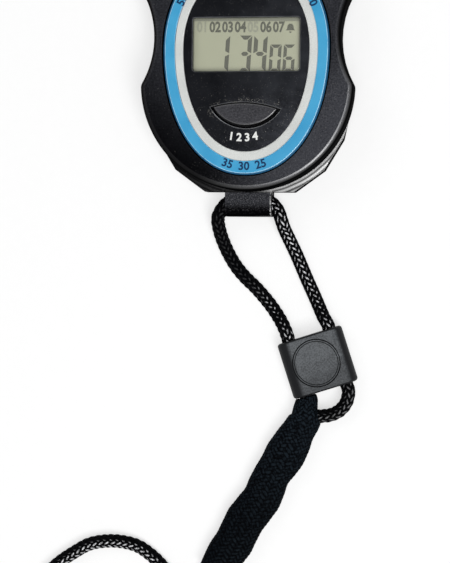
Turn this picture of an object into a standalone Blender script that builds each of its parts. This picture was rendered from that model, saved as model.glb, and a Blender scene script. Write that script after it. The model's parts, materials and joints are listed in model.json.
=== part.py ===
"""A digital stopwatch on a braided neck lanyard, lying on its back on a table.

Metres, +Z up out of the face, +X to the right of the face and +Y towards the shoulder buttons.
The origin is on the table, under the middle of the watch without its lanyard.
"""

from math import atan2, cos, degrees, hypot, pi, radians, sin, sqrt

import bmesh
import bpy
from mathutils import Matrix, Vector

MM = 0.001

# Fits and thicknesses that many pieces share
GAP = 0.3 * MM                  # clearance between neighbouring pieces
WALL = 2.2 * MM                 # side walls of both shells
TRAVEL = 1.0 * MM               # how far every button moves in

# Display window, from which the face and the case get their widths
WINDOW_WIDTH = 32.3 * MM
WINDOW_HEIGHT = 15.9 * MM
WINDOW_DROP = 2.4 * MM          # its centre, below the waist
WINDOW_CORNER = 0.8 * MM
WINDOW_SUNK = 0.1 * MM          # top of the clear window below the face panel
WINDOW_LIP = 1.6 * MM           # flange that holds it under the plate
WINDOW_LIP_THICK = 0.8 * MM

# Egg-shaped face: half width, reach up and reach down from its centre, then the bands round it
EGG_DROP = 3.6 * MM
EGG_POWER = 2.1
PANEL_EGG = (WINDOW_WIDTH / 2 + 2.95 * MM, 23.4 * MM, 30.9 * MM)
WHITE_BAND = (2.5 * MM, 2.8 * MM, 2.8 * MM)
BLUE_BAND = (3.5 * MM, 3.3 * MM, 4.2 * MM)
BLUE_PROUD = 0.2 * MM           # the blue ring stands above the case, the others lie below it
BLUE_BEVEL = 0.6 * MM
WHITE_SUNK = 0.1 * MM
PANEL_SUNK = 0.2 * MM
CASE_BAND = 7.2 * MM            # flat of the case beside the blue ring

# Case outline, measured from the waist, the narrowest place
LOBE_RADIUS = PANEL_EGG[0] + WHITE_BAND[0] + BLUE_BAND[0] + CASE_BAND
LOBE_DROP = 13.9 * MM           # its centre, below the waist
WAIST_PINCH = 4.0 * MM          # how far the waist is drawn in on each side
WAIST_HALF = LOBE_RADIUS - WAIST_PINCH
WAIST_RADIUS = 27.8 * MM        # the hollow curve on each side
ARCH_RADIUS = LOBE_RADIUS + 7.4 * MM
ARCH_DROP = 8.5 * MM            # centre of the top edge's arc, below the waist
CORNER_RADIUS = 3.0 * MM
HEEL = ((23.0, 2.8 * MM), (41.8, 2.05 * MM), (60.6, 0.5 * MM))    # degrees from -Y, reach past the lobe

# What stands on the table, from the back up to the display
FLOOR = 2.6 * MM                # floor of the back shell
BACK_EDGE = 0.8 * MM            # chamfer round the back
DRAFT = 1.5 * MM                # how much the back shell narrows towards the table
CELL_RADIUS = 5.8 * MM
CELL_THICK = 5.4 * MM
DOOR_THICK = 1.6 * MM
DOOR_SUNK = 0.1 * MM
CONTACT_ROOM = 2.4 * MM         # from the battery bay up to the board
BOARD_THICK = 1.0 * MM
ZEBRA_HEIGHT = 1.2 * MM         # rubber connector strips under the glass edges
ZEBRA_WIDTH = 1.6 * MM
GLASS_THICK = 2.0 * MM
GLASS_BORDER = 2.2 * MM         # display glass beyond the window on each side
FOIL_THICK = 0.3 * MM
HOLDER_WALL = 1.4 * MM
PLATE = 1.2 * MM                # front plate left under the face pocket
POCKET = 1.1 * MM               # depth of that egg-shaped pocket
RIM_RADIUS = 1.8 * MM           # rounded front edge
PARTING_DROP = 1.0 * MM         # where the shells meet, below the board

# What the board carries
BLOB_RADIUS = 5.0 * MM
BLOB_THICK = 1.0 * MM
BLOB_DROP = 8.0 * MM
CRYSTAL_RADIUS = 1.0 * MM
CRYSTAL_LENGTH = 6.0 * MM
CRYSTAL_PLACE = (11.0 * MM, -6.0 * MM)
CAPACITOR_SIZE = (2.0 * MM, 1.25 * MM, 0.9 * MM)
CAPACITOR_PLACES = ((-11.5 * MM, -5.0 * MM), (-11.5 * MM, -9.0 * MM))

# Mode button under the display: a lens shape between two arcs
MODE_HALF = 9.7 * MM
MODE_RISE = 1.5 * MM            # top arc above the tips
MODE_FALL = 5.2 * MM            # bottom arc below them
MODE_DROP = 21.5 * MM           # tips below the waist
MODE_PROUD = 0.9 * MM
MODE_MOAT = 1.35 * MM           # open recess below it in the face panel
MODE_SLIT = 0.4 * MM            # and above it
MODE_FLANGE = 1.0 * MM
MODE_FLANGE_THICK = 0.8 * MM
MODE_BEVEL = 0.4 * MM
MODE_STEM_RADIUS = 2.2 * MM
DOME_RADIUS = 3.0 * MM
DOME_THICK = 0.8 * MM

# Shoulder buttons, square to the top edge
BUTTON_ANGLE = 39.0             # degrees from +Y
BUTTON_WIDTH = 13.0 * MM
BUTTON_PROUD = 3.0 * MM
BUTTON_BELOW = 2.0 * MM         # cap edge below the front plate
BUTTON_ABOVE = 3.2 * MM         # cap edge above the back floor
BUTTON_ROUND = 1.2 * MM
BUTTON_FLANGE = 1.2 * MM
BUTTON_FLANGE_THICK = 1.2 * MM
STEM_HALF = 1.2 * MM
SWITCH_SIZE = (6.0 * MM, 3.5 * MM, 3.0 * MM)
SWITCH_INSET = 2.0 * MM         # from the board's edge
PLUNGER = 0.7 * MM

# Fasteners: head radius, head height, shank radius
CASE_SCREW = (1.8 * MM, 1.2 * MM, 0.85 * MM)
BOARD_SCREW = (1.6 * MM, 0.9 * MM, 0.8 * MM)
DOOR_SCREW = (1.5 * MM, 0.7 * MM, 0.8 * MM)
HEAD_SUNK = 0.4 * MM            # case screw heads above the table
BOSS_WALL = 1.55 * MM           # round every screw hole
BLIND = 1.6 * MM                # solid left over the blind end of a case screw hole
CASE_SCREW_INSET = 6.0 * MM      # from the case outline
CASE_SCREW_ANGLES = (61.3, 16.3)    # degrees from -Y round the lobe, and from +Y round the arch
BOARD_SCREW_INSETS = (13.45 * MM, 12.2 * MM)
BOARD_SCREW_ANGLE = 72.7

# Button cell, its bay and its door, in the lower back
CELL_PLACE = (-4.0 * MM, -27.0 * MM)
BAY_WALL = 1.05 * MM
DOOR_LENGTH = 23.5 * MM
DOOR_HEIGHT = 14.6 * MM
DOOR_CORNER = 2.0 * MM
DOOR_SHIFT = 4.2 * MM           # door centre to the right of the cell
DOOR_SCREW_INSET = 3.35 * MM    # from the door's right end
CONTACT_WIDTH = 4.0 * MM
CONTACT_THICK = 0.3 * MM

# Buzzer on the back floor
BUZZER_RADIUS = 10.0 * MM
BUZZER_THICK = 0.4 * MM
BUZZER_UP = 6.5 * MM
BUZZER_SEAT = 0.85 * MM
SPRING_RADIUS = 1.6 * MM
SPRING_WIRE = 0.25 * MM
SPRING_TURNS = 4

# Lug at the foot of the back shell
LUG_LENGTH = 7.6 * MM           # from the heel to its end
LUG_HALF = 7.1 * MM
LUG_LOW = 2.2 * MM
LUG_HIGH = 10.2 * MM
LUG_ROUND = 2.6 * MM
LUG_FOOT = 1.2 * MM
EYE_RISE = 6.0 * MM             # middle of the cord passage above the lug's end
EYE_HEIGHT = 6.2 * MM
EYE_CLEARANCE = 0.5 * MM

# Lanyard, whose places are measured from the end of the lug
CORD = 3.8 * MM                 # braided cord diameter
CORD_BEND = 8.2 * MM            # bend of the cord through the lug
CORD_LIE = CORD / 2 + 0.05 * MM
SLIDER_WIDTH = 20.6 * MM
SLIDER_LENGTH = 17.6 * MM
SLIDER_THICK = 8.0 * MM
SLIDER_ROUND = 3.0 * MM
SLIDER_BEVEL = 0.5 * MM
SLIDER_PLACE = (21.3 * MM, -44.5 * MM)
SLIDER_TURN = 18.3              # degrees
BORE_SPACING = 13.0 * MM
BORE_CLEARANCE = 0.55 * MM
TAIL_INSIDE = 1.2 * MM          # how far the loop reaches into the slider
SLEEVE_THICK = 7.0 * MM
COIL_PLACE = (-43.5 * MM, -153.3 * MM)
COIL_TURNS = 5.5
COIL_DIAMETER = 44.0 * MM       # at the middle of its turns
COIL_GAP = 0.6 * MM

BOARD_LOW = DOOR_SUNK + DOOR_THICK + CELL_THICK + CONTACT_ROOM
BOARD_TOP = BOARD_LOW + BOARD_THICK
GLASS_LOW = BOARD_TOP + GAP + ZEBRA_HEIGHT + GAP
GLASS_TOP = GLASS_LOW + GLASS_THICK
PLATE_LOW = GLASS_TOP + WINDOW_LIP_THICK + 2 * GAP
POCKET_FLOOR = PLATE_LOW + PLATE
CASE_HEIGHT = POCKET_FLOOR + POCKET
PARTING = BOARD_LOW - PARTING_DROP
SHELL_LOW = PARTING + GAP
LUG_REACH = LOBE_DROP + LOBE_RADIUS + LUG_LENGTH
WAIST_Y = (LUG_REACH - ARCH_RADIUS + ARCH_DROP) / 2
LUG_END = WAIST_Y - LUG_REACH
WINDOW_Y = WAIST_Y - WINDOW_DROP
MODE_Y = WAIST_Y - MODE_DROP


def clear_scene():
    for item in list(bpy.data.objects):
        bpy.data.objects.remove(item, do_unlink=True)


def material(name, colour, roughness, metallic=0.0):
    """A Principled material with one colour, roughness and metallic value."""
    made = bpy.data.materials.new(name)
    made.use_nodes = True
    shader = made.node_tree.nodes["Principled BSDF"]
    shader.inputs["Base Color"].default_value = (*colour, 1.0)
    shader.inputs["Roughness"].default_value = roughness
    shader.inputs["Metallic"].default_value = metallic
    return made


def place(name, data, finish, frame=None):
    """Link a mesh or curve to the scene as a named object with its finish."""
    item = bpy.data.objects.new(name, data)
    bpy.context.scene.collection.objects.link(item)
    if finish:
        data.materials.append(finish)
    if frame is not None:
        item.matrix_world = frame
    return item


def as_cutter(item):
    item.hide_render = True
    item.display_type = "WIRE"
    return item


def combine(target, tool, operation):
    """A live Boolean on the target. The tool stays in the scene as a hidden guide."""
    modifier = target.modifiers.new(operation.title(), "BOOLEAN")
    modifier.operation = operation
    modifier.object = as_cutter(tool)


def carve(target, *tools):
    for tool in tools:
        combine(target, tool, "DIFFERENCE")


def weld(target, *tools):
    for tool in tools:
        combine(target, tool, "UNION")


def loft(name, rings, finish=None, frame=None, closed=False):
    """A solid through rings of points: capped at both ends, or joined end to end when closed."""
    mesh = bmesh.new()
    rows = [[mesh.verts.new(p) for p in ring] for ring in rings]
    count = len(rows[0])
    pairs = list(zip(rows, rows[1:]))
    if closed:
        pairs.append((rows[-1], rows[0]))
    else:
        mesh.faces.new(list(reversed(rows[0])))
        mesh.faces.new(rows[-1])
    for low, high in pairs:
        for i in range(count):
            j = (i + 1) % count
            mesh.faces.new((low[i], low[j], high[j], high[i]))
    bmesh.ops.recalc_face_normals(mesh, faces=mesh.faces)
    data = bpy.data.meshes.new(name)
    mesh.to_mesh(data)
    mesh.free()
    return place(name, data, finish, frame)


def level(outline, z):
    return [(x, y, z) for x, y in outline]


def prism(name, outline, low, high, finish=None, frame=None):
    return loft(name, [level(outline, low), level(outline, high)], finish, frame)


def arc(centre, radius, start, end, steps):
    """Points on an arc, angles in degrees, both ends included."""
    angles = [radians(start + (end - start) * i / steps) for i in range(steps + 1)]
    return [(centre[0] + radius * cos(a), centre[1] + radius * sin(a)) for a in angles]


def circle(centre, radius, sides=24):
    return arc(centre, radius, 0, 360, sides)[:-1]


def turned(name, centre, profile, finish=None, sides=20):
    """A round solid from (radius, height) pairs, bottom to top."""
    return loft(name, [level(circle(centre, r, sides), z) for r, z in profile], finish)


def drum(name, centre, radius, low, high, finish=None, sides=20):
    return turned(name, centre, [(radius, low), (radius, high)], finish, sides)


def rounded(centre, width, height, corner, steps=3):
    """A rectangle with round corners, anticlockwise."""
    outline = []
    for turn, (sx, sy) in enumerate(((1, 1), (-1, 1), (-1, -1), (1, -1))):
        middle = (centre[0] + sx * (width / 2 - corner), centre[1] + sy * (height / 2 - corner))
        outline += arc(middle, corner, 90 * turn, 90 * turn + 90, steps)
    return outline


def block(name, low, high, finish=None, frame=None):
    """A box between two opposite corners."""
    outline = ((low[0], low[1]), (high[0], low[1]), (high[0], high[1]), (low[0], high[1]))
    return prism(name, outline, low[2], high[2], finish, frame)


def on_face(place_from_waist):
    """A place given from the waist, in the part's frame."""
    return (place_from_waist[0], WAIST_Y + place_from_waist[1])


def circles_meet(c0, r0, c1, r1, side):
    """Where two circles cross, on the left (+1) or the right (-1) of the way from c0 to c1."""
    dx, dy = c1[0] - c0[0], c1[1] - c0[1]
    apart = hypot(dx, dy)
    along = (r0 * r0 - r1 * r1 + apart * apart) / (2 * apart)
    across = side * sqrt(r0 * r0 - along * along)
    return (c0[0] + (along * dx - across * dy) / apart, c0[1] + (along * dy + across * dx) / apart)


def bearing(start, end):
    """Angle of the way from start to end, 0 to 360 degrees."""
    return degrees(atan2(end[1] - start[1], end[0] - start[0])) % 360


def half_outline(inset, start=-90.0, lobe_steps=14):
    """The right half of the case outline, bottom to top, moved in by inset.

    Every stretch is an arc, so an inset only changes the radii.
    """
    lobe = (0.0, WAIST_Y - LOBE_DROP)
    waist = (WAIST_HALF + WAIST_RADIUS, WAIST_Y)
    arch = (0.0, WAIST_Y - ARCH_DROP)
    corner = max(CORNER_RADIUS - inset, GAP)
    lobe_radius, hollow, arch_radius = LOBE_RADIUS - inset, WAIST_RADIUS + inset, ARCH_RADIUS - inset
    low = circles_meet(lobe, lobe_radius - corner, waist, hollow + corner, -1)
    high = circles_meet(arch, arch_radius - corner, waist, hollow + corner, 1)
    lobe_end = (bearing(lobe, low) + 180) % 360 - 180
    arch_end = bearing(arch, high)
    return (
        arc(lobe, lobe_radius, start, lobe_end, lobe_steps)
        + arc(low, corner, lobe_end, bearing(waist, low) - 180, 3)[1:]
        + arc(waist, hollow, bearing(waist, low), bearing(waist, high), 8)[1:]
        + arc(high, corner, bearing(waist, high) - 180, arch_end, 3)[1:]
        + arc(arch, arch_radius, arch_end, 90, 9)[1:]
    )


def mirrored(half):
    """Close a right half, whose ends lie on the middle line, with its mirror image."""
    return half + [(-x, y) for x, y in reversed(half[1:-1])]


def case_outline(inset=0.0):
    return mirrored(half_outline(inset))


def back_outline(inset=0.0, edge=0.0):
    """The back shell's outline: the case outline with the heel's flats across its lower end."""
    heel = [polar(-1, angle, LOBE_RADIUS + reach - edge) for angle, reach in HEEL]
    start = HEEL[-1][0] - 90 + 9
    return mirrored([(0.0, heel[0][1])] + heel + half_outline(inset + edge, start, 4))


def polar(end, angle, radius):
    """A point round the lobe's centre (end -1, from -Y) or the top arch's (end 1, from +Y)."""
    drop = LOBE_DROP if end < 0 else ARCH_DROP
    return (radius * sin(radians(angle)), WAIST_Y - drop + end * radius * cos(radians(angle)))


def case_screw_places():
    low = [polar(-1, side * CASE_SCREW_ANGLES[0], LOBE_RADIUS - CASE_SCREW_INSET) for side in (1, -1)]
    high = [polar(1, side * CASE_SCREW_ANGLES[1], ARCH_RADIUS - CASE_SCREW_INSET) for side in (1, -1)]
    return low + high


def board_screw_places():
    low = [polar(-1, side * BOARD_SCREW_ANGLE, LOBE_RADIUS - BOARD_SCREW_INSETS[0]) for side in (1, -1)]
    return low + [polar(1, 0.0, ARCH_RADIUS - BOARD_SCREW_INSETS[1])]


def egg(size, steps=72):
    """The outline of the face: a superellipse that reaches further down than up."""
    half, up, down = size
    outline = []
    for i in range(steps):
        angle = 2 * pi * i / steps
        c, s = cos(angle), sin(angle)
        x = half * abs(c) ** (2 / EGG_POWER) * (1 if c >= 0 else -1)
        y = (up if s >= 0 else -down) * abs(s) ** (2 / EGG_POWER)
        outline.append((x, WAIST_Y - EGG_DROP + y))
    return outline


def grow_egg(size, *bands):
    """An egg's sizes with a band added all round: one distance, or one for each of its three sizes."""
    for band in bands:
        steps = band if isinstance(band, tuple) else (band,) * 3
        size = tuple(value + step for value, step in zip(size, steps))
    return size


def white_egg():
    return grow_egg(PANEL_EGG, WHITE_BAND)


def blue_egg():
    return grow_egg(PANEL_EGG, WHITE_BAND, BLUE_BAND)


def lens(grow=0.0, above=None, steps=10):
    """The mode button's outline, two arcs moved out by grow, or by above where the top arc differs."""
    def bow(sagitta, out):
        return (MODE_HALF * MODE_HALF + sagitta * sagitta) / (2 * sagitta) + out, sagitta + out
    top, rise = bow(MODE_RISE, grow if above is None else above)
    bottom, fall = bow(MODE_FALL, grow)
    top_centre = (0.0, MODE_Y + rise - top)
    bottom_centre = (0.0, MODE_Y - fall + bottom)
    tip = circles_meet(bottom_centre, bottom, top_centre, top, 1)
    upper = arc(top_centre, top, bearing(top_centre, tip), 180 - bearing(top_centre, tip), steps)
    low_start = bearing(bottom_centre, (-tip[0], tip[1]))
    lower = arc(bottom_centre, bottom, low_start, 540 - low_start, steps)
    return upper + lower[1:-1]


def screw(name, centre, size, head_low, tip, finish, upright=True):
    """A screw with its head down, the way they all go into this case."""
    head, thick, shank = size
    neck = head_low + thick
    profile = [(head, head_low), (head, neck), (shank, neck), (shank, tip - shank), (shank / 2, tip)]
    return turned(name, centre, profile, finish, 14)


def smooth_route(points, spacing):
    """Evenly spaced points on a smooth curve through hand-chosen ones."""
    ends = [2 * points[0] - points[1], *points, 2 * points[-1] - points[-2]]
    fine = []
    for a, b, c, d in zip(ends, ends[1:], ends[2:], ends[3:]):
        for i in range(16):
            t = i / 16
            fine.append(0.5 * (2 * b + (c - a) * t + (2 * a - 5 * b + 4 * c - d) * t * t
                               + (3 * b - a - 3 * c + d) * t * t * t))
    fine.append(points[-1])
    reach = [0.0]
    for a, b in zip(fine, fine[1:]):
        reach.append(reach[-1] + (b - a).length)
    count = max(2, round(reach[-1] / spacing))
    route, k = [], 0
    for i in range(count + 1):
        want = reach[-1] * i / count
        while k < len(reach) - 2 and reach[k + 1] < want:
            k += 1
        share = (want - reach[k]) / (reach[k + 1] - reach[k])
        route.append(fine[k].lerp(fine[k + 1], min(share, 1.0)))
    return route


def route_length(points):
    return sum((b - a).length for a, b in zip(points, points[1:]))


def tube(name, points, radius, finish, resolution=2):
    """A cord or wire: a round bevel along a run of points, with closed ends."""
    curve = bpy.data.curves.new(name, "CURVE")
    curve.dimensions = "3D"
    curve.bevel_depth = radius
    curve.bevel_resolution = resolution
    curve.use_fill_caps = True
    spline = curve.splines.new("POLY")
    spline.points.add(len(points) - 1)
    for point, where in zip(spline.points, points):
        point.co = (*where, 1.0)
    return place(name, curve, finish)


def sweep(name, points, radius, finish=None, sides=12):
    """The same kind of tube as a mesh, so that it can cut other meshes."""
    rings = []
    for i, point in enumerate(points):
        ahead = points[min(i + 1, len(points) - 1)] - points[max(i - 1, 0)]
        side = ahead.cross(Vector((0, 0, 1))).normalized()
        up = side.cross(ahead).normalized()
        angles = [2 * pi * k / sides for k in range(sides)]
        rings.append([point + radius * (side * cos(a) + up * sin(a)) for a in angles])
    return loft(name, rings, finish)


def make_front_shell(black):
    """The front half of the case, with the face pocket, its openings and the screw bosses."""
    rings = [level(case_outline(), SHELL_LOW)]
    for step in range(4):
        angle = radians(30 * step)
        inset = RIM_RADIUS * (1 - cos(angle))
        rings.append(level(case_outline(inset), CASE_HEIGHT - RIM_RADIUS * (1 - sin(angle))))
    shell = loft("front_shell", rings, black)
    carve(shell, prism("front_hollow", case_outline(WALL), 0.0, PLATE_LOW))
    bosses, holes = [], []
    for i, spot in enumerate(case_screw_places()):
        shank = CASE_SCREW[2] + GAP
        bosses.append(drum(f"front_boss_{i}", spot, shank + BOSS_WALL, SHELL_LOW, PLATE_LOW + GAP))
        holes.append(drum(f"front_hole_{i}", spot, shank, 0.0, PLATE_LOW - BLIND + GAP))
    for i, spot in enumerate(board_screw_places()):
        shank = BOARD_SCREW[2] + GAP
        bosses.append(drum(f"board_boss_{i}", spot, shank + BOSS_WALL, BOARD_TOP + GAP, PLATE_LOW + GAP))
        holes.append(drum(f"board_hole_{i}", spot, shank, 0.0, PLATE_LOW - BLIND + GAP))
    weld(shell, *bosses)
    carve(shell, *holes)
    carve(
        shell,
        prism("face_pocket", egg(grow_egg(blue_egg(), GAP)), POCKET_FLOOR, 2 * CASE_HEIGHT),
        prism("window_opening", window_outline(GAP), 0.0, 2 * CASE_HEIGHT),
        prism("mode_opening", lens(GAP), 0.0, 2 * CASE_HEIGHT),
        *button_openings("front"),
    )
    return shell


def make_back_shell(black):
    """The back half, with the heel, the lug, the battery bay and the buzzer seat."""
    shell = loft(
        "back_shell",
        [
            level(back_outline(DRAFT, BACK_EDGE), 0.0),
            level(back_outline(DRAFT), BACK_EDGE),
            level(back_outline(), PARTING),
        ],
        black,
    )
    cell = on_face(CELL_PLACE)
    bay = CELL_RADIUS + GAP
    bay_top = DOOR_SUNK + DOOR_THICK + CELL_THICK
    buzzer = on_face((0.0, BUZZER_UP))
    seat = BUZZER_RADIUS + GAP
    carve(shell, prism("back_hollow", case_outline(WALL), FLOOR, CASE_HEIGHT))
    weld(
        shell,
        make_lug(),
        drum("bay_wall", cell, bay + BAY_WALL, 1.5 * MM, bay_top, sides=32),
        drum("buzzer_seat", buzzer, seat + BUZZER_SEAT, FLOOR / 2, FLOOR + 3 * GAP + BUZZER_THICK, sides=40),
        drum("door_boss", door_screw_place(), DOOR_SCREW[2] + GAP + BOSS_WALL, FLOOR / 2, door_boss_top()),
    )
    carve(
        shell,
        drum("bay_bore", cell, bay, -FLOOR, CASE_HEIGHT, sides=32),
        drum("buzzer_bore", buzzer, seat, FLOOR, CASE_HEIGHT, sides=40),
        prism("door_rebate", door_outline(GAP), -FLOOR, DOOR_SUNK + DOOR_THICK + GAP),
        drum("door_hole", door_screw_place(), DOOR_SCREW[2] + GAP, -FLOOR, door_boss_top() - BLIND / 2),
        contact_slot(),
        sweep("cord_passage", passage_route(), CORD / 2 + EYE_CLEARANCE),
        *button_openings("back"),
    )
    for i, spot in enumerate(case_screw_places()):
        head, thick, shank = CASE_SCREW
        weld(shell, drum(f"back_boss_{i}", spot, head + GAP + WALL / 2, FLOOR / 2, PARTING))
        sink = HEAD_SUNK + thick + GAP
        bore = [(head + GAP, -FLOOR), (head + GAP, sink), (shank + GAP, sink), (shank + GAP, CASE_HEIGHT)]
        carve(shell, turned(f"back_hole_{i}", spot, bore))
    return shell


def make_lug():
    """The block that the cord goes through, rounded at its front end."""
    end = LUG_END
    root = end + LUG_LENGTH
    clear = WAIST_Y - LOBE_DROP - LOBE_RADIUS - GAP
    nose = arc((end + LUG_ROUND, LUG_HIGH - LUG_ROUND), LUG_ROUND, 180, 90, 4)
    side = [
        (root + WALL / 2, LUG_LOW), (end + LUG_FOOT, LUG_LOW), (end, LUG_LOW + LUG_FOOT), *nose,
        (clear, LUG_HIGH), (clear, PARTING), (root + WALL / 2, PARTING),
    ]
    return loft("lug", [[(x, y, z) for y, z in side] for x in (-LUG_HALF, LUG_HALF)])


def passage_route():
    """The cord's way through the lug: level in the middle and bent down at both ends."""
    high = LUG_END + EYE_RISE
    flat = LUG_HALF + CORD / 2 - CORD_BEND + CORD / 4
    left = arc((-flat, high - CORD_BEND), CORD_BEND, 170, 90, 4)
    right = arc((flat, high - CORD_BEND), CORD_BEND, 90, 10, 4)
    return [Vector((x, y, EYE_HEIGHT)) for x, y in left + right]


def window_outline(grow=0.0):
    return rounded((0.0, WINDOW_Y), WINDOW_WIDTH + 2 * grow, WINDOW_HEIGHT + 2 * grow, WINDOW_CORNER + grow)


def door_place():
    x, y = on_face(CELL_PLACE)
    return (x + DOOR_SHIFT, y)


def door_screw_place():
    x, y = door_place()
    return (x + DOOR_LENGTH / 2 - DOOR_SCREW_INSET, y)


def door_outline(grow=0.0):
    return rounded(door_place(), DOOR_LENGTH + 2 * grow, DOOR_HEIGHT + 2 * grow, DOOR_CORNER + grow)


def door_boss_top():
    return DOOR_SUNK + DOOR_THICK + CELL_THICK * 0.75


def contact_slot():
    """A gap in the bay wall, through which the plus contact touches the side of the cell."""
    x, y = on_face(CELL_PLACE)
    half = CONTACT_WIDTH / 2 + GAP
    reach = CELL_RADIUS + GAP + BAY_WALL + CONTACT_THICK
    return block("contact_slot", (x, y - half, FLOOR), (x + reach, y + half, CASE_HEIGHT))


def shoulder_frame(side):
    """The frame of a shoulder button: its Y axis points out along the button's travel."""
    return Matrix.Translation((0, WAIST_Y - ARCH_DROP, 0)) @ Matrix.Rotation(radians(-side * BUTTON_ANGLE), 4, "Z")


def button_heights():
    return FLOOR + BUTTON_ABOVE, PLATE_LOW - BUTTON_BELOW


def flange_face():
    """How far out a flat flange reaches before the curved inside of the wall."""
    half = BUTTON_WIDTH / 2 + BUTTON_FLANGE
    return sqrt((ARCH_RADIUS - WALL) ** 2 - half ** 2) - GAP


def board_edge():
    """Radius of the board's top edge, behind the flanges of both shoulder buttons when pressed."""
    return flange_face() - BUTTON_FLANGE_THICK - TRAVEL - GAP


def plunger_height():
    return BOARD_TOP + GAP + SWITCH_SIZE[2] / 2


def upright(outline, y, z=0.0):
    """An outline in X and Z at one Y, for solids that are built along Y."""
    return [(x, y, z + height) for x, height in outline]


def button_openings(shell):
    low, high = button_heights()
    half = BUTTON_WIDTH / 2 + GAP
    reach = (ARCH_RADIUS - 3 * WALL, ARCH_RADIUS + BUTTON_PROUD)
    return [
        block(f"{shell}_opening_{side}", (-half, reach[0], low - GAP), (half, reach[1], high + GAP),
              frame=shoulder_frame(side))
        for side in (-1, 1)
    ]


def make_shoulder_button(name, side, grey):
    low, high = button_heights()
    face = flange_face()
    middle = (0.0, (low + high) / 2)
    width, height = BUTTON_WIDTH, high - low
    tip = ARCH_RADIUS + BUTTON_PROUD
    rings = [upright(rounded(middle, width, height, BUTTON_ROUND), face - BUTTON_FLANGE_THICK / 2)]
    for step in range(4):
        angle = radians(30 * step)
        inset = BUTTON_ROUND * (1 - cos(angle)) * 0.8
        corner = BUTTON_ROUND - inset * 0.6
        outline = rounded(middle, width - 2 * inset, height - 2 * inset, corner)
        rings.append(upright(outline, tip - BUTTON_ROUND * (1 - sin(angle))))
    frame = shoulder_frame(side)
    button = loft(name, rings, grey, frame)
    lip = BUTTON_FLANGE
    flange = block(f"{name}_flange", (-width / 2 - lip, face - BUTTON_FLANGE_THICK, low - lip),
                   (width / 2 + lip, face, high + lip), frame=frame)
    z = plunger_height()
    stem_end = board_edge() - SWITCH_INSET + PLUNGER + TRAVEL + GAP
    stem = block(f"{name}_stem", (-STEM_HALF, stem_end, z - STEM_HALF),
                 (STEM_HALF, face - BUTTON_FLANGE_THICK / 2, z + STEM_HALF), frame=frame)
    weld(button, flange, stem)
    return button


def make_switch(name, side, black):
    """A side-push switch on the front of the board, behind a shoulder button's stem."""
    width, depth, height = SWITCH_SIZE
    front = board_edge() - SWITCH_INSET
    low = BOARD_TOP + GAP
    frame = shoulder_frame(side)
    switch = block(name, (-width / 2, front - depth, low), (width / 2, front, low + height), black, frame)
    z = plunger_height()
    half = STEM_HALF * 0.75
    plunger = block(f"{name}_plunger", (-half, front - depth / 2, z - half), (half, front + PLUNGER, z + half),
                    frame=frame)
    weld(switch, plunger)
    return switch


def make_mode_button(grey):
    """The lens-shaped cap, its flange under the plate and the stem over the rubber dome."""
    top = POCKET_FLOOR + POCKET - PANEL_SUNK + MODE_PROUD
    under = PLATE_LOW - GAP
    rings = [
        level(lens(), under - MODE_FLANGE_THICK / 2), level(lens(), top - MODE_BEVEL),
        level(lens(-MODE_BEVEL / 2), top - MODE_BEVEL / 3), level(lens(-MODE_BEVEL), top),
    ]
    button = loft("mode_button", rings, grey)
    flange = prism("mode_flange", lens(MODE_FLANGE), under - MODE_FLANGE_THICK, under)
    stem_end = BOARD_TOP + GAP + DOME_THICK + TRAVEL + GAP
    stem = drum("mode_stem", mode_middle(), MODE_STEM_RADIUS, stem_end, under - MODE_FLANGE_THICK / 2)
    weld(button, flange, stem)
    return button


def mode_middle():
    return (0.0, MODE_Y + (MODE_RISE - MODE_FALL) / 2)


def make_face(blue, white, panel_black, clear):
    """The blue and white rings, the black panel and the clear window, all in the pocket."""
    low = POCKET_FLOOR + GAP
    top = CASE_HEIGHT + BLUE_PROUD
    loft(
        "blue_trim_ring",
        [
            level(egg(blue_egg()), low), level(egg(blue_egg()), top - BLUE_BEVEL),
            level(egg(grow_egg(blue_egg(), -BLUE_BEVEL)), top),
            level(egg(white_egg()), top), level(egg(white_egg()), low),
        ],
        blue, closed=True,
    )
    outer, inner = grow_egg(white_egg(), -GAP), PANEL_EGG
    top = CASE_HEIGHT - WHITE_SUNK
    loft("white_trim_ring", [level(egg(outer), low), level(egg(outer), top), level(egg(inner), top),
                             level(egg(inner), low)], white, closed=True)
    panel = prism("face_panel", egg(grow_egg(PANEL_EGG, -GAP)), low, CASE_HEIGHT - PANEL_SUNK, panel_black)
    carve(
        panel,
        prism("panel_window", window_outline(GAP), 0.0, 2 * CASE_HEIGHT),
        prism("panel_moat", lens(MODE_MOAT, MODE_SLIT), 0.0, 2 * CASE_HEIGHT),
    )
    lip = window_outline(WINDOW_LIP)
    lip_top = PLATE_LOW - GAP
    window = prism("display_window", window_outline(), lip_top - WINDOW_LIP_THICK / 2,
                   CASE_HEIGHT - PANEL_SUNK - WINDOW_SUNK, clear)
    weld(window, prism("window_flange", lip, lip_top - WINDOW_LIP_THICK, lip_top))


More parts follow.
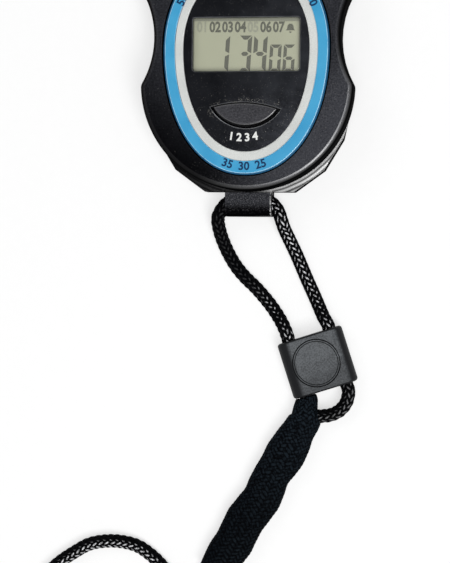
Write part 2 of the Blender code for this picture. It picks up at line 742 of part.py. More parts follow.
def make_display(glass_finish, foil_finish, holder_finish, rubber):
    """The display glass in its holder, on rubber connector strips that stand on the board."""
    width = WINDOW_WIDTH + 2 * GLASS_BORDER
    height = WINDOW_HEIGHT + 2 * GLASS_BORDER
    strip_low = BOARD_TOP + GAP
    centre = (0.0, WINDOW_Y)
    prism("lcd_glass", rounded(centre, width, height, GAP), GLASS_LOW, GLASS_TOP, glass_finish)
    inner = (width + 2 * GAP, height + 2 * GAP)
    outer = (inner[0] + 2 * HOLDER_WALL, inner[1] + 2 * HOLDER_WALL)
    holder_top = GLASS_TOP - 2 * GAP
    loft(
        "lcd_holder",
        [
            level(rounded(centre, *outer, HOLDER_WALL), strip_low),
            level(rounded(centre, *outer, HOLDER_WALL), holder_top),
            level(rounded(centre, *inner, GAP), holder_top),
            level(rounded(centre, *inner, GAP), strip_low),
        ],
        holder_finish, closed=True,
    )
    strip_y = height / 2 - ZEBRA_WIDTH / 2
    for name, side in (("zebra_strip_top", 1), ("zebra_strip_bottom", -1)):
        spot = (0.0, WINDOW_Y + side * strip_y)
        prism(name, rounded(spot, width, ZEBRA_WIDTH, GAP), strip_low, GLASS_LOW - GAP, rubber)
    foil_height = 2 * (strip_y - ZEBRA_WIDTH / 2 - GAP)
    foil_top = GLASS_LOW - GAP
    prism("lcd_reflector", rounded(centre, width, foil_height, GAP), foil_top - FOIL_THICK, foil_top, foil_finish)


def make_board(green, epoxy, steel, ceramic, rubber):
    """The circuit board, notched round the case screws, with the parts soldered to its back."""
    board = prism("circuit_board", case_outline(ARCH_RADIUS - board_edge()), BOARD_LOW, BOARD_TOP, green)
    for i, spot in enumerate(case_screw_places()):
        clear = max(CASE_SCREW[2] + GAP + BOSS_WALL, CASE_SCREW[0] + GAP + WALL / 2) + GAP
        carve(board, drum(f"board_notch_{i}", spot, clear, 0.0, CASE_HEIGHT))
    for i, spot in enumerate(board_screw_places()):
        carve(board, drum(f"board_bore_{i}", spot, BOARD_SCREW[2] + GAP, 0.0, CASE_HEIGHT))
    under = BOARD_LOW - GAP
    turned(
        "controller_blob", on_face((0.0, -BLOB_DROP)),
        [(BLOB_RADIUS * 0.4, under - BLOB_THICK), (BLOB_RADIUS * 0.8, under - BLOB_THICK * 0.7),
         (BLOB_RADIUS, under)],
        epoxy,
    )
    x, y = on_face(CRYSTAL_PLACE)
    can = circle((y, under - CRYSTAL_RADIUS), CRYSTAL_RADIUS, 14)
    loft("quartz_crystal", [[(x + s * CRYSTAL_LENGTH / 2, a, b) for a, b in can] for s in (-1, 1)], steel)
    for i, spot in enumerate(CAPACITOR_PLACES):
        x, y = on_face(spot)
        half = (CAPACITOR_SIZE[0] / 2, CAPACITOR_SIZE[1] / 2)
        block(f"capacitor_{i + 1}", (x - half[0], y - half[1], under - CAPACITOR_SIZE[2]),
              (x + half[0], y + half[1], under), ceramic)
    low = BOARD_TOP + GAP
    turned("mode_dome", mode_middle(), [(DOME_RADIUS, low), (DOME_RADIUS * 0.6, low + DOME_THICK)], rubber)


def make_power(steel, nickel, black, brass):
    """The button cell, its two contacts, its door and the buzzer with its spring."""
    x, y = on_face(CELL_PLACE)
    low = DOOR_SUNK + DOOR_THICK + GAP
    high = low + CELL_THICK
    turned(
        "battery_cell", (x, y),
        [(CELL_RADIUS - GAP, low), (CELL_RADIUS, low + GAP), (CELL_RADIUS, high - GAP), (CELL_RADIUS - GAP, high)],
        nickel, 32,
    )
    under = BOARD_LOW - GAP
    thick = CONTACT_THICK
    touch = high + GAP
    leaf = [
        (-1.2, under), (-0.6, under), (-0.25, touch + thick), (0.25, touch + thick), (0.25, touch),
        (-0.28, touch), (-0.63, under - thick), (-1.2, under - thick),
    ]
    half = CONTACT_WIDTH / 2
    rings = [[(x + a * CELL_RADIUS, y + s * half, b) for a, b in leaf] for s in (-1, 1)]
    loft("battery_contact_minus", rings, brass)
    near = CELL_RADIUS + GAP
    foot = FLOOR + GAP
    strip = [
        (near, foot), (near + thick, foot), (near + thick, under - thick),
        (near + CONTACT_WIDTH, under - thick), (near + CONTACT_WIDTH, under), (near, under),
    ]
    loft("battery_contact_plus", [[(x + a, y + s * half, b) for a, b in strip] for s in (-1, 1)], brass)
    door = prism("battery_door", door_outline(), DOOR_SUNK, DOOR_SUNK + DOOR_THICK, black)
    head, thick, shank = DOOR_SCREW
    head_low = DOOR_SUNK + GAP / 2
    sink = head_low + thick + GAP
    bore = [(head + GAP, -FLOOR), (head + GAP, sink), (shank + GAP, sink), (shank + GAP, CASE_HEIGHT)]
    carve(door, turned("door_bore", door_screw_place(), bore))
    screw("door_screw", door_screw_place(), DOOR_SCREW, head_low, door_boss_top() - BLIND, steel)
    centre = on_face((0.0, BUZZER_UP))
    disc = FLOOR + GAP
    drum("buzzer_disc", centre, BUZZER_RADIUS, disc, disc + BUZZER_THICK, brass, 40)
    start = disc + BUZZER_THICK + GAP + SPRING_WIRE
    rise = BOARD_LOW - GAP - SPRING_WIRE - start
    steps = 8 * SPRING_TURNS
    coil = []
    for i in range(steps + 1):
        angle = 2 * pi * SPRING_TURNS * i / steps
        spot = (centre[0] + SPRING_RADIUS * cos(angle), centre[1] + SPRING_RADIUS * sin(angle))
        coil.append(Vector((*spot, start + rise * i / steps)))
    tube("buzzer_spring", coil, SPRING_WIRE, steel, 0)


def make_fasteners(steel):
    for i, spot in enumerate(case_screw_places()):
        tip = PLATE_LOW - BLIND - GAP
        screw(f"case_screw_{i + 1}", spot, CASE_SCREW, HEAD_SUNK, tip, steel)
    for i, spot in enumerate(board_screw_places()):
        head_low = BOARD_LOW - GAP - BOARD_SCREW[1]
        screw(f"board_screw_{i + 1}", spot, BOARD_SCREW, head_low, PLATE_LOW - BLIND - GAP, steel)


def slider_frame():
    turn = Matrix.Rotation(radians(SLIDER_TURN), 4, "Z")
    return Matrix.Translation((SLIDER_PLACE[0], LUG_END + SLIDER_PLACE[1], SLIDER_THICK / 2)) @ turn


def in_slider(side, along):
    """A point on the middle of a bore, along the way that the slider slides."""
    return slider_frame() @ Vector((side * BORE_SPACING / 2, along, 0.0))


def make_slider(grey):
    """The rubber slider that both legs of the loop go through."""
    rings = []
    for end, inset in ((-1, SLIDER_BEVEL), (-1, 0.0), (1, 0.0), (1, SLIDER_BEVEL)):
        shift = SLIDER_BEVEL - inset
        section = rounded((0.0, 0.0), SLIDER_WIDTH - 2 * inset, SLIDER_THICK - 2 * inset, SLIDER_ROUND - inset, 4)
        rings.append(upright(section, end * (SLIDER_LENGTH / 2 - shift)))
    slider = loft("lanyard_slider", rings, grey, slider_frame())
    for side, name in ((-1, "left"), (1, "right")):
        x = side * BORE_SPACING / 2
        bore = circle((x, 0.0), CORD / 2 + BORE_CLEARANCE, 20)
        rings = [upright(bore, end * SLIDER_LENGTH) for end in (-1, 1)]
        carve(slider, loft(f"{name}_bore", rings, frame=slider_frame()))
    return slider


# Routes of the cord's free stretches from the lug's end, in millimetres, chosen along the real cord
LEFT_LEG = (
    (11.6, -35.7, 4.0), (10.1, -32.6, 3.4), (8.2, -29.7, 2.5), (6.2, -27.0, 2.1), (4.0, -24.4, 2.0),
    (1.5, -21.7, 2.0), (-1.5, -18.9, 2.0), (-4.2, -15.8, 2.0), (-6.4, -12.4, 2.1), (-8.2, -8.6, 2.6),
    (-9.4, -4.8, 4.0),
)
RIGHT_LEG = (
    (10.7, -3.8, 4.0), (12.4, -7.6, 2.6), (14.3, -11.6, 2.1), (16.1, -15.7, 2.0), (17.9, -19.8, 2.0),
    (19.7, -23.6, 2.1), (21.4, -27.3, 2.6), (23.0, -30.7, 3.5),
)
U_TURN = (
    (31.0, -53.2, 3.9), (30.3, -56.6, 3.7), (28.3, -59.2, 3.6), (25.7, -60.6, 3.6), (23.7, -61.0, 3.6),
)
NECK_ARC = (
    (-12.2, -111.1, 3.5), (-13.9, -113.6, 2.9), (-16.9, -115.6, 2.2), (-20.5, -115.3, 2.0),
    (-23.9, -113.0, 2.0), (-27.0, -109.9, 2.0), (-30.4, -106.7, 2.0), (-35.0, -103.8, 2.0),
    (-40.4, -102.6, 2.0), (-45.8, -102.7, 2.0), (-50.8, -103.9, 2.0), (-55.6, -106.7, 2.0),
    (-60.3, -110.0, 2.0), (-64.8, -114.4, 2.0), (-68.5, -120.4, 2.0), (-70.8, -128.2, 2.0),
    (-71.6, -136.8, 2.0),
)
NECK_RETURN = (
    (-15.6, -142.3, 5.6), (-15.5, -136.3, 4.0), (-15.1, -130.1, 2.6), (-13.6, -123.6, 2.3),
    (-11.2, -118.0, 2.8), (-8.5, -113.6, 3.5),
)

# The sleeve's middle line in the same way, with its width as the third number
SLEEVE = (
    (18.3, -56.6, 6.6), (18.4, -59.5, 8.0), (17.5, -62.9, 10.2), (13.5, -69.8, 11.8), (8.1, -79.4, 11.8),
    (3.6, -87.7, 12.2), (-1.8, -96.5, 12.2), (-6.4, -104.4, 12.0), (-9.9, -111.0, 11.0),
)


def from_lug(x, y, z=0.0):
    """A point given in metres from the lug's end, in the part's frame."""
    return Vector((x, LUG_END + y, z))


def route(points):
    return [from_lug(*(value * MM for value in p)) for p in points]


def coil_point(turn):
    """A point of the coil: in over the first half of its turns, and out again one layer up."""
    pitch = CORD + COIL_GAP
    half = COIL_TURNS / 2
    from_middle = turn - half
    inner = COIL_DIAMETER / 2 - pitch * half / 2
    radius = inner + pitch * sqrt(from_middle ** 2 + 0.01)
    share = min(max(from_middle * 2 + 0.5, 0.0), 1.0)
    climb = share * share * (3 - 2 * share)
    angle = pi + 2 * pi * turn
    return from_lug(COIL_PLACE[0] + radius * cos(angle), COIL_PLACE[1] + radius * sin(angle),
                    CORD_LIE + pitch * climb)


def coil_route(per_turn):
    """The whole coil, its ends running straight for one diameter."""
    steps = round(COIL_TURNS * per_turn)
    turns = [coil_point(COIL_TURNS * i / steps) for i in range(steps + 1)]
    lead = Vector((0.0, CORD, 0.0))
    return [turns[0] + lead, *turns, turns[-1] + lead]


def least_self_gap(points):
    """The smallest clear gap between stretches that lie more than three diameters apart."""
    reach = [0.0]
    for a, b in zip(points, points[1:]):
        reach.append(reach[-1] + (b - a).length)
    least = min(
        (points[i] - points[j]).length
        for i in range(len(points))
        for j in range(i + 1, len(points))
        if reach[j] - reach[i] > 3 * CORD
    )
    return least - CORD


def make_lanyard(braid, knit, grey):
    """The loop through the lug and the slider, the knitted sleeve, and the neck cord with its coil."""
    make_slider(grey)
    inside = SLIDER_LENGTH / 2 - TAIL_INSIDE
    left_end, right_end = in_slider(-1, inside), in_slider(1, inside)
    above = SLIDER_LENGTH / 2 + 0.4 * CORD
    loop = smooth_route(
        [left_end, in_slider(-1, above), *route(LEFT_LEG), *passage_route(), *route(RIGHT_LEG),
         in_slider(1, above), right_end],
        CORD,
    )
    tube("lanyard_loop", loop, CORD / 2, braid)
    below = -SLIDER_LENGTH / 2 - CORD / 4
    start = inside - GAP
    tube("cord_tail_left", smooth_route([in_slider(-1, start), in_slider(-1, 0.0), in_slider(-1, below)], 2 * CORD),
         CORD / 2, braid)
    tube("cord_tail_right", smooth_route([in_slider(1, start), in_slider(1, 0.0), in_slider(1, below)]
                                         + route(U_TURN), CORD), CORD / 2, braid)
    make_sleeve(knit)
    coil = coil_route(24)
    first, last = coil[0], coil[-1]
    lead = Vector((0.0, CORD, 0.0))
    seam = Vector((0.0, GAP, 0.0))
    arc_route = smooth_route([*route(NECK_ARC), first + lead, first + seam], 1.35 * CORD)
    back_route = smooth_route([last + seam, last + lead, *route(NECK_RETURN)], 1.5 * CORD)
    tube("neck_cord_arc", arc_route, CORD / 2, braid)
    tube("neck_coil", coil, CORD / 2, braid, 1)
    tube("neck_cord_return", back_route, CORD / 2, braid)
    fine = coil_route(96)
    print("coil: least gap to itself", round(least_self_gap(fine) / MM, 2), "mm")
    for name, line in (("loop", loop), ("arc", arc_route), ("coil", fine), ("return", back_route)):
        print(name, "length", round(route_length(line), 4), "m")


def make_sleeve(knit):
    """The knitted sleeve round both strands: an oval tube, narrow where it starts at the slider."""
    line = smooth_route([Vector(p) for p in SLEEVE], 4.5)
    sides = 16
    rings = []
    for i, spot in enumerate(line):
        ahead = line[min(i + 1, len(line) - 1)] - line[max(i - 1, 0)]
        ahead.z = 0.0
        side = Vector((-ahead.y, ahead.x, 0.0)).normalized()
        half = spot.z * MM / 2
        tall = min(half * 1.9, SLEEVE_THICK) / 2
        centre = from_lug(spot.x * MM, spot.y * MM, SLEEVE_THICK / 2 + 0.05 * MM)
        angles = [2 * pi * k / sides for k in range(sides)]
        rings.append([centre + side * half * cos(a) + Vector((0, 0, tall * sin(a))) for a in angles])
    loft("lanyard_sleeve", rings, knit)


def shade():
    """Round pieces smooth, with their real edges kept sharp."""
    for item in bpy.data.objects:
        if item.type == "MESH" and not item.hide_render:
            item.data.shade_smooth()
            item.data.set_sharp_from_angle(angle=radians(35))


def main():
    clear_scene()
    black = material("black_plastic", (0.026, 0.026, 0.030), 0.48)
    grey = material("button_plastic", (0.048, 0.048, 0.054), 0.5)
    blue = material("blue_lacquer", (0.055, 0.325, 0.610), 0.35)
    white = material("white_lacquer", (0.72, 0.745, 0.685), 0.4)
    panel_black = material("panel_lacquer", (0.012, 0.012, 0.016), 0.3)
    clear = material("clear_window", (0.75, 0.78, 0.70), 0.08)
    glass = material("display_glass", (0.41, 0.43, 0.30), 0.15)
    foil = material("reflector_foil", (0.55, 0.56, 0.48), 0.4, 0.5)
    ivory = material("holder_plastic", (0.62, 0.62, 0.58), 0.5)
    rubber = material("connector_rubber", (0.03, 0.03, 0.03), 0.8)
    green = material("board_resin", (0.02, 0.16, 0.06), 0.45)
    epoxy = material("epoxy", (0.01, 0.01, 0.01), 0.3)
    ceramic = material("ceramic", (0.42, 0.28, 0.16), 0.5)
    steel = material("plated_steel", (0.52, 0.52, 0.50), 0.32, 1.0)
    nickel = material("cell_nickel", (0.60, 0.59, 0.56), 0.25, 1.0)
    brass = material("brass", (0.65, 0.46, 0.18), 0.35, 1.0)
    braid = material("cord_braid", (0.007, 0.007, 0.008), 0.75)
    knit = material("sleeve_knit", (0.008, 0.009, 0.011), 0.9)
    slider_grey = material("slider_rubber", (0.07, 0.073, 0.078), 0.6)
    make_front_shell(black)
    make_back_shell(black)
    make_face(blue, white, panel_black, clear)
    make_display(glass, foil, ivory, rubber)
    make_board(green, epoxy, steel, ceramic, rubber)
    make_mode_button(grey)
    for name, side in (("left", -1), ("right", 1)):
        make_shoulder_button(f"{name}_button", side, grey)
        make_switch(f"{name}_switch", side, epoxy)
    make_power(steel, nickel, black, brass)
    make_fasteners(steel)
    make_lanyard(braid, knit, slider_grey)
    shade()


main()
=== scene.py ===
# %% [markdown]
# A used digital stopwatch lies on its back on a pale table, its braided neck lanyard running away
# from it. The packed model gives every piece its place and size. This file gives each one its looks:
# moulded, lacquered and printed plastic, a display, braided cord and a knitted sleeve.

# %% Load the packed model
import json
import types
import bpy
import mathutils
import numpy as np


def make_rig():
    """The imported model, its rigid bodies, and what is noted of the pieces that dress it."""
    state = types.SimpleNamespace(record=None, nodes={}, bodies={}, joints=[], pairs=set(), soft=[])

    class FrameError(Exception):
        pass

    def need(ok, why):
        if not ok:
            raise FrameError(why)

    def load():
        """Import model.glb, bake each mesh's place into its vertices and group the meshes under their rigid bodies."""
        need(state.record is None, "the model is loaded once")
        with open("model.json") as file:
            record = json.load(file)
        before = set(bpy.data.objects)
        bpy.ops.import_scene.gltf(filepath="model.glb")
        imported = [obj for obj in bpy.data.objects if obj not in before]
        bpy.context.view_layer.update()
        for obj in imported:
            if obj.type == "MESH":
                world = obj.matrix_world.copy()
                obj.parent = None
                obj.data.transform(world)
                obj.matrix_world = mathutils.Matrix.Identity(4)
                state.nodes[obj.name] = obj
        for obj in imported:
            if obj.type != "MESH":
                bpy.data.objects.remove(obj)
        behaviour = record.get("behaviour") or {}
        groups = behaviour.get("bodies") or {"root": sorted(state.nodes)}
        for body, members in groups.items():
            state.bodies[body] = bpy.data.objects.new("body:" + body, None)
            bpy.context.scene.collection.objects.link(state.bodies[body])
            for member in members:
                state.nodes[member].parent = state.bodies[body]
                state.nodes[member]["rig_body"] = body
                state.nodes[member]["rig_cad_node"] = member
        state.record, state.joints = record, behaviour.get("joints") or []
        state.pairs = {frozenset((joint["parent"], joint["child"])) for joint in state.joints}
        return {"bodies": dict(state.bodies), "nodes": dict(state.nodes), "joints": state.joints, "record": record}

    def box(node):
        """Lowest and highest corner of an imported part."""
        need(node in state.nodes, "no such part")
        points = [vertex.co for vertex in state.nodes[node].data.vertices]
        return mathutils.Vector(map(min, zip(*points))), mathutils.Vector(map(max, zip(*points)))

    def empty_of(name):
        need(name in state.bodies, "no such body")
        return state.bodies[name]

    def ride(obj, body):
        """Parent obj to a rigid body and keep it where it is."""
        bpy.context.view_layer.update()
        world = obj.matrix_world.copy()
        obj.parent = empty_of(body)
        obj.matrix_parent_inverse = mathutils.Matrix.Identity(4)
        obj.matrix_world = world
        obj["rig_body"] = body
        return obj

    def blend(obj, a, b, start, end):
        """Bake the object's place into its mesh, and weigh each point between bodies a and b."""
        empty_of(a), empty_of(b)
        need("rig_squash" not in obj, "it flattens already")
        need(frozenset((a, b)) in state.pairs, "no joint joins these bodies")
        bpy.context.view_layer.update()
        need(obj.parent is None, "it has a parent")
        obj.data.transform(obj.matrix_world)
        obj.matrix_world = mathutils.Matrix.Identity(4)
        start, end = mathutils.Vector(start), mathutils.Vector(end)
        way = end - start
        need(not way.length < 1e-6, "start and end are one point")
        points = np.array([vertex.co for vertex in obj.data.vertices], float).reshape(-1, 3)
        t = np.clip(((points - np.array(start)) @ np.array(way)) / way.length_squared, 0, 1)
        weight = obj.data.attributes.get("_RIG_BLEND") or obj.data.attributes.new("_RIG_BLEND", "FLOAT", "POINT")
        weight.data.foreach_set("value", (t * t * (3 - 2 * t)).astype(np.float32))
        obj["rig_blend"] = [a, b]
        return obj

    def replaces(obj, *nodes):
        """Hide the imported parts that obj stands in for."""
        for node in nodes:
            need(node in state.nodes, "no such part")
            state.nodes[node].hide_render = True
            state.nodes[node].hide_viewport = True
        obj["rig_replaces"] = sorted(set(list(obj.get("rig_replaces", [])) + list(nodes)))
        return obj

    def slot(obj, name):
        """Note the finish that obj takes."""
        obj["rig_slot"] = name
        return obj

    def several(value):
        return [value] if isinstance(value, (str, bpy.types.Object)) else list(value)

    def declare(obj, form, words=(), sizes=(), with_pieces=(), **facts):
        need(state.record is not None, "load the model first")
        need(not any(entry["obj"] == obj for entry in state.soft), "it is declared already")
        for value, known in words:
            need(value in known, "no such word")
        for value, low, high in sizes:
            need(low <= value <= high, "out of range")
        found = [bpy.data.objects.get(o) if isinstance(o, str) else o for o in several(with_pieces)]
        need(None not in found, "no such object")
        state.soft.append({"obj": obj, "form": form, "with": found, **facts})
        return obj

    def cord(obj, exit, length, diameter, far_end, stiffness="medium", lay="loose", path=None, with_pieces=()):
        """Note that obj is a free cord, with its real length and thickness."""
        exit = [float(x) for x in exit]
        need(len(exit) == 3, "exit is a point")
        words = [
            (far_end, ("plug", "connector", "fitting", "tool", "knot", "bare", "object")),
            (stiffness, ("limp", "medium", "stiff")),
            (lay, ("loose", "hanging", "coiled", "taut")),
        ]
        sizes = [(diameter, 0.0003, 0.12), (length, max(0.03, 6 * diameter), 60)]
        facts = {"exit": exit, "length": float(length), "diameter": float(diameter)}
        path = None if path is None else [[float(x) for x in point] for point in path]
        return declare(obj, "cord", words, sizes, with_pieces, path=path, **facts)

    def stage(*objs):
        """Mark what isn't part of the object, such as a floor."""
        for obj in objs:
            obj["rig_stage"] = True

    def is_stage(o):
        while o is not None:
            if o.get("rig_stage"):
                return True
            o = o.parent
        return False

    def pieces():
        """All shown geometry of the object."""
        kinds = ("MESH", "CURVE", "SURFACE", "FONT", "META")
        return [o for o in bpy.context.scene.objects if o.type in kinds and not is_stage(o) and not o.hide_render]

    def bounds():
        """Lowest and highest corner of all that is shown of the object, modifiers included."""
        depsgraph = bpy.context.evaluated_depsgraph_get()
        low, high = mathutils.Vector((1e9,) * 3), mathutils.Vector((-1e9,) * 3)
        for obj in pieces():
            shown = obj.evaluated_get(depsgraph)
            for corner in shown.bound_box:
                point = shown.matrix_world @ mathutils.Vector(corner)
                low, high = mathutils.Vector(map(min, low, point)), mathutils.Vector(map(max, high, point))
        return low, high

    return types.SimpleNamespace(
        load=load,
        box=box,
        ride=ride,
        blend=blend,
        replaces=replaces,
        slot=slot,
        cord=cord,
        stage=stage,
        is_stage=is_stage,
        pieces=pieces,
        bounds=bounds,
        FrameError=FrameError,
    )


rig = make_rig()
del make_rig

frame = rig.load()

import json
from contextlib import contextmanager
from math import atan2, cos, degrees, hypot, pi, radians, sin, sqrt

import bmesh
import bpy
import numpy as np
from mathutils import Matrix, Vector

cad_box = [list(corner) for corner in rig.bounds()]
MM = 0.001
scene = bpy.context.scene
scene.view_settings.view_transform = "Standard"
print("CAD pieces:", len(frame["nodes"]), "box:", np.round(np.array(cad_box) / MM, 1).tolist())

# %% [markdown]
# The photograph was taken by hand from above the table, a little to the right of the watch and a little
# below it, which is why the right side wall and the heel show. A camera could be turned by three angles.
# Aiming it at a point just over the table is easier to correct, because its place and its aim then
# change the picture one at a time. At the end it is turned a little about its own axis.

# %% Camera
CAMERA_PLACE = Vector((65.0, -50.7, 483.0)) * MM
CAMERA_TARGET = Vector((-6.98, -62.46, 9.0)) * MM
CAMERA_ROLL = 0.01  # radians, which turns the picture clockwise
CAMERA_LENS = 100.0
CAMERA_SENSOR = 36.0
CAMERA_RANGE = (0.01, 10.0)  # nearest and furthest distance that it sees, in metres


def turned_at(place, angle):
    """The matrix that turns a thing on the table about its middle and takes it to a place."""
    return Matrix.Translation(place) @ Matrix.Rotation(angle, 4, "Z")


def aimed(place, target, roll=0.0):
    """The world matrix of a camera or lamp at a place, looking at a target with +Y upwards."""
    back = (place - target).normalized()
    right = Vector((0, 1, 0)).cross(back).normalized()
    turn = Matrix((right, back.cross(right), back)).transposed().to_4x4()
    return Matrix.Translation(place) @ turn @ Matrix.Rotation(roll, 4, "Z")


def link(name, data, finish=None):
    """Puts data into the scene as an object, with a finish where one is given."""
    item = bpy.data.objects.new(name, data)
    scene.collection.objects.link(item)
    if finish:
        dress(data, finish)
    return item


def dress(data, finish):
    """Gives a mesh one material in place of those it has."""
    data.materials.clear()
    data.materials.append(finish)


camera_data = bpy.data.cameras.new("camera")
camera_data.lens = CAMERA_LENS
camera_data.sensor_width = CAMERA_SENSOR
camera_data.clip_start, camera_data.clip_end = CAMERA_RANGE
scene.camera = link("camera", camera_data)
scene.camera.matrix_world = aimed(CAMERA_PLACE, CAMERA_TARGET, CAMERA_ROLL)
print("camera", round((CAMERA_PLACE - CAMERA_TARGET).length / MM), "mm from its target")

# %% [markdown]
# Node trees are long to write by hand. One small class wraps a socket, so that ordinary Python
# operators add Math nodes, and one function makes any other node. They serve the shader trees and the
# Geometry Nodes trees alike, because both have Math nodes.

# %% Expressions on sockets


def make(tree, kind, inputs=None, output=0, **settings):
    """Adds a node, then its settings, then the values or links of its sockets. Returns one output."""
    node = tree.nodes.new(kind)
    for name, value in settings.items():
        setattr(node, name, value)
    for key, value in (inputs or {}).items():
        if isinstance(value, Value):
            tree.links.new(value.socket, node.inputs[key])
        else:
            node.inputs[key].default_value = value
    return Value(tree, node.outputs[output])


def operator(operation, reflected=False):
    """A method that adds a Math node. A reflected one puts the other value first, as 1 - mask needs."""
    def method(self, *others):
        values = (*others, self) if reflected else (self, *others)
        return make(self.tree, "ShaderNodeMath", dict(enumerate(values)), operation=operation)
    return method


class Value:
    """A socket in a node tree. Operators and methods on it add Math nodes."""

    __add__ = __radd__ = operator("ADD")
    __mul__ = __rmul__ = operator("MULTIPLY")
    __sub__, __rsub__ = operator("SUBTRACT"), operator("SUBTRACT", reflected=True)
    __truediv__, __pow__, __abs__ = operator("DIVIDE"), operator("POWER"), operator("ABSOLUTE")
    floor, fract, sine = operator("FLOOR"), operator("FRACT"), operator("SINE")
    at_least, at_most = operator("MAXIMUM"), operator("MINIMUM")

    def __init__(self, tree, socket):
        self.tree, self.socket = tree, socket

    def within(self, low, high):
        """0 below low, 1 above high and a smooth step between them."""
        return make(self.tree, "ShaderNodeMapRange", {"Value": self, "From Min": low, "From Max": high},
                    interpolation_type="SMOOTHSTEP")

    def band(self, low, full, still_full, high):
        """0 below low and above high, 1 from full to still_full, and smooth steps between them."""
        return self.within(low, full) * (1 - self.within(still_full, high))

    def near(self, place, close, far):
        """1 while the value is closer to a place than close, and 0 when it is further off than far."""
        return 1 - abs(self - place).within(close, far)


print("a socket now takes + - * / ** and abs")

# %% [markdown]
# Every finish here is a Principled shader with patterns on it: noise for clouds and grain, and scattered
# specks for dust. All of it could be typed out for each material. A class holds the steps they share, so
# that a finish further down reads as a short recipe. The patterns read Object coordinates, which are real
# metres on these pieces, so they keep their size and no piece needs unwrapping.

# %% Materials under construction


class Finish:
    """A material under construction: its tree, its pattern coordinates and its Principled shader."""

    def __init__(self, name, colour, roughness, **sockets):
        self.material = bpy.data.materials.new(name)
        self.material.use_nodes = True
        self.tree = self.material.node_tree
        self.shader = self.tree.nodes["Principled BSDF"]
        self.set("Base Color", (*colour, 1.0))
        self.set("Roughness", roughness)
        for socket, value in sockets.items():
            self.set(socket.replace("_", " "), value)
        self.place = make(self.tree, "ShaderNodeTexCoord", output="Object")

    def set(self, socket, value):
        if isinstance(value, Value):
            self.tree.links.new(value.socket, self.shader.inputs[socket])
        else:
            self.shader.inputs[socket].default_value = value

    def axis(self, letter):
        """One coordinate of the piece, in millimetres."""
        return make(self.tree, "ShaderNodeSeparateXYZ", {0: self.place}, output=letter) * (1 / MM)

    def facing(self, x, y, z):
        """How much a face looks towards a direction, from -1 to 1."""
        normal = make(self.tree, "ShaderNodeTexCoord", output="Normal")
        return make(self.tree, "ShaderNodeVectorMath", {0: normal, 1: (x, y, z)}, output="Value",
                    operation="DOT_PRODUCT")

    def moved(self, *shift):
        """The pattern coordinates, shifted so that two patterns don't lie on each other."""
        return make(self.tree, "ShaderNodeVectorMath", {0: self.place, 1: shift}, operation="ADD")

    def noise(self, size, detail=2.0, seed=0.0, roughness=0.5):
        """Noise from about 0 to 1, with blobs about as large as size in metres."""
        inputs = {"Vector": self.moved(seed, -seed, seed), "Scale": 1 / size, "Detail": detail,
                  "Roughness": roughness}
        return make(self.tree, "ShaderNodeTexNoise", inputs)

    def specks(self, spacing, radius, seed=0.0):
        """1 in small dots scattered at about this spacing, in metres, and 0 between them."""
        cell = make(self.tree, "ShaderNodeTexVoronoi",
                    {"Vector": self.moved(seed, seed, -seed), "Scale": 1 / spacing})
        reach = radius / spacing
        return 1 - cell.within(reach * 0.5, reach)

    def mix(self, factor, first, second):
        """Blends two colours, given as RGB or as links."""
        first = (*first, 1.0) if isinstance(first, tuple) else first
        second = (*second, 1.0) if isinstance(second, tuple) else second
        return make(self.tree, "ShaderNodeMix", {0: factor, 6: first, 7: second}, output=2, data_type="RGBA")

    def bump(self, height, depth, strength=1.0):
        """Relief of this depth in metres, over whatever relief the finish already has."""
        inputs = {"Height": height, "Distance": depth, "Strength": strength}
        below = self.shader.inputs["Normal"].links
        if below:
            inputs["Normal"] = Value(self.tree, below[0].from_socket)
        self.set("Normal", make(self.tree, "ShaderNodeBump", inputs))

    def done(self, colour, roughness=None, relief=None, depth=0.0, strength=0.5):
        """Sets what most finishes vary over their surface, and returns the material."""
        self.set("Base Color", colour)
        if roughness:
            self.set("Roughness", roughness)
        if relief:
            self.bump(relief, depth, strength)
        return self.material

    def blended(self, factor, first, second):
        """Mixes two shaders."""
        return make(self.tree, "ShaderNodeMixShader", {0: factor, 1: first, 2: second})

    def surfaced(self, shader):
        """Ends the tree with this shader in place of the Principled one, and returns the material."""
        self.tree.links.new(shader.socket, self.tree.nodes["Material Output"].inputs["Surface"])
        return self.material


print("steps of a recipe:", ", ".join(name for name in vars(Finish) if not name.startswith("_")))

# %% [markdown]
# Colours are easiest to think of as a picture shows them, from 0 to 255. Those values are bent to suit
# the eye, while shaders count light. The editor's colour picker hides the difference. A script has to
# turn one into the other, or every colour comes out too pale.

# %% Colours as a picture shows them


def srgb(red, green, blue):
    """A colour as a picture shows it, 0 to 255, turned into the linear values that shaders use."""
    return tuple(c / 12.92 if c <= 0.04045 else ((c + 0.055) / 1.055) ** 2.4
                 for c in (red / 255, green / 255, blue / 255))


print("a picture's middle grey is", round(srgb(128, 128, 128)[0], 3), "in a shader")

# %% [markdown]
# The cord is a tubular braid: twenty yarns, ten wound each way, that pass over two and under two.
# Modelling every yarn would take millions of faces. A tree of Geometry Nodes sweeps a round tube along
# the route and then lifts each point by a formula of two numbers, how far along and how far round it
# lies, which gives real relief on the outline. Both numbers stay on the mesh as attributes, so that the
# finish can work the same formula out again for every pixel.

# %% Woven relief


def woven(along, around, yarns, lay):
    """Height and gleam of a braid, 0 to 1, from metres along it and turns round it."""
    turns = along / lay
    right = (around + turns) * yarns
    left = (around - turns) * yarns
    index = right.floor() + left.floor()
    over = 1 - ((index / 4).fract() * 4).within(1.4, 1.6)
    across = over * right.fract() + (1 - over) * left.fract()
    run = over * left.fract() + (1 - over) * right.fract()
    step = (((index / 2).fract() * 2).within(0.4, 0.6) + run) / 2
    round_yarn, arch = (across * pi).sine(), (step * pi).sine()
    return round_yarn ** 0.6 * (0.35 + 0.65 * arch), round_yarn ** 3 * arch ** 1.5


print("woven relief: over two yarns and under two")

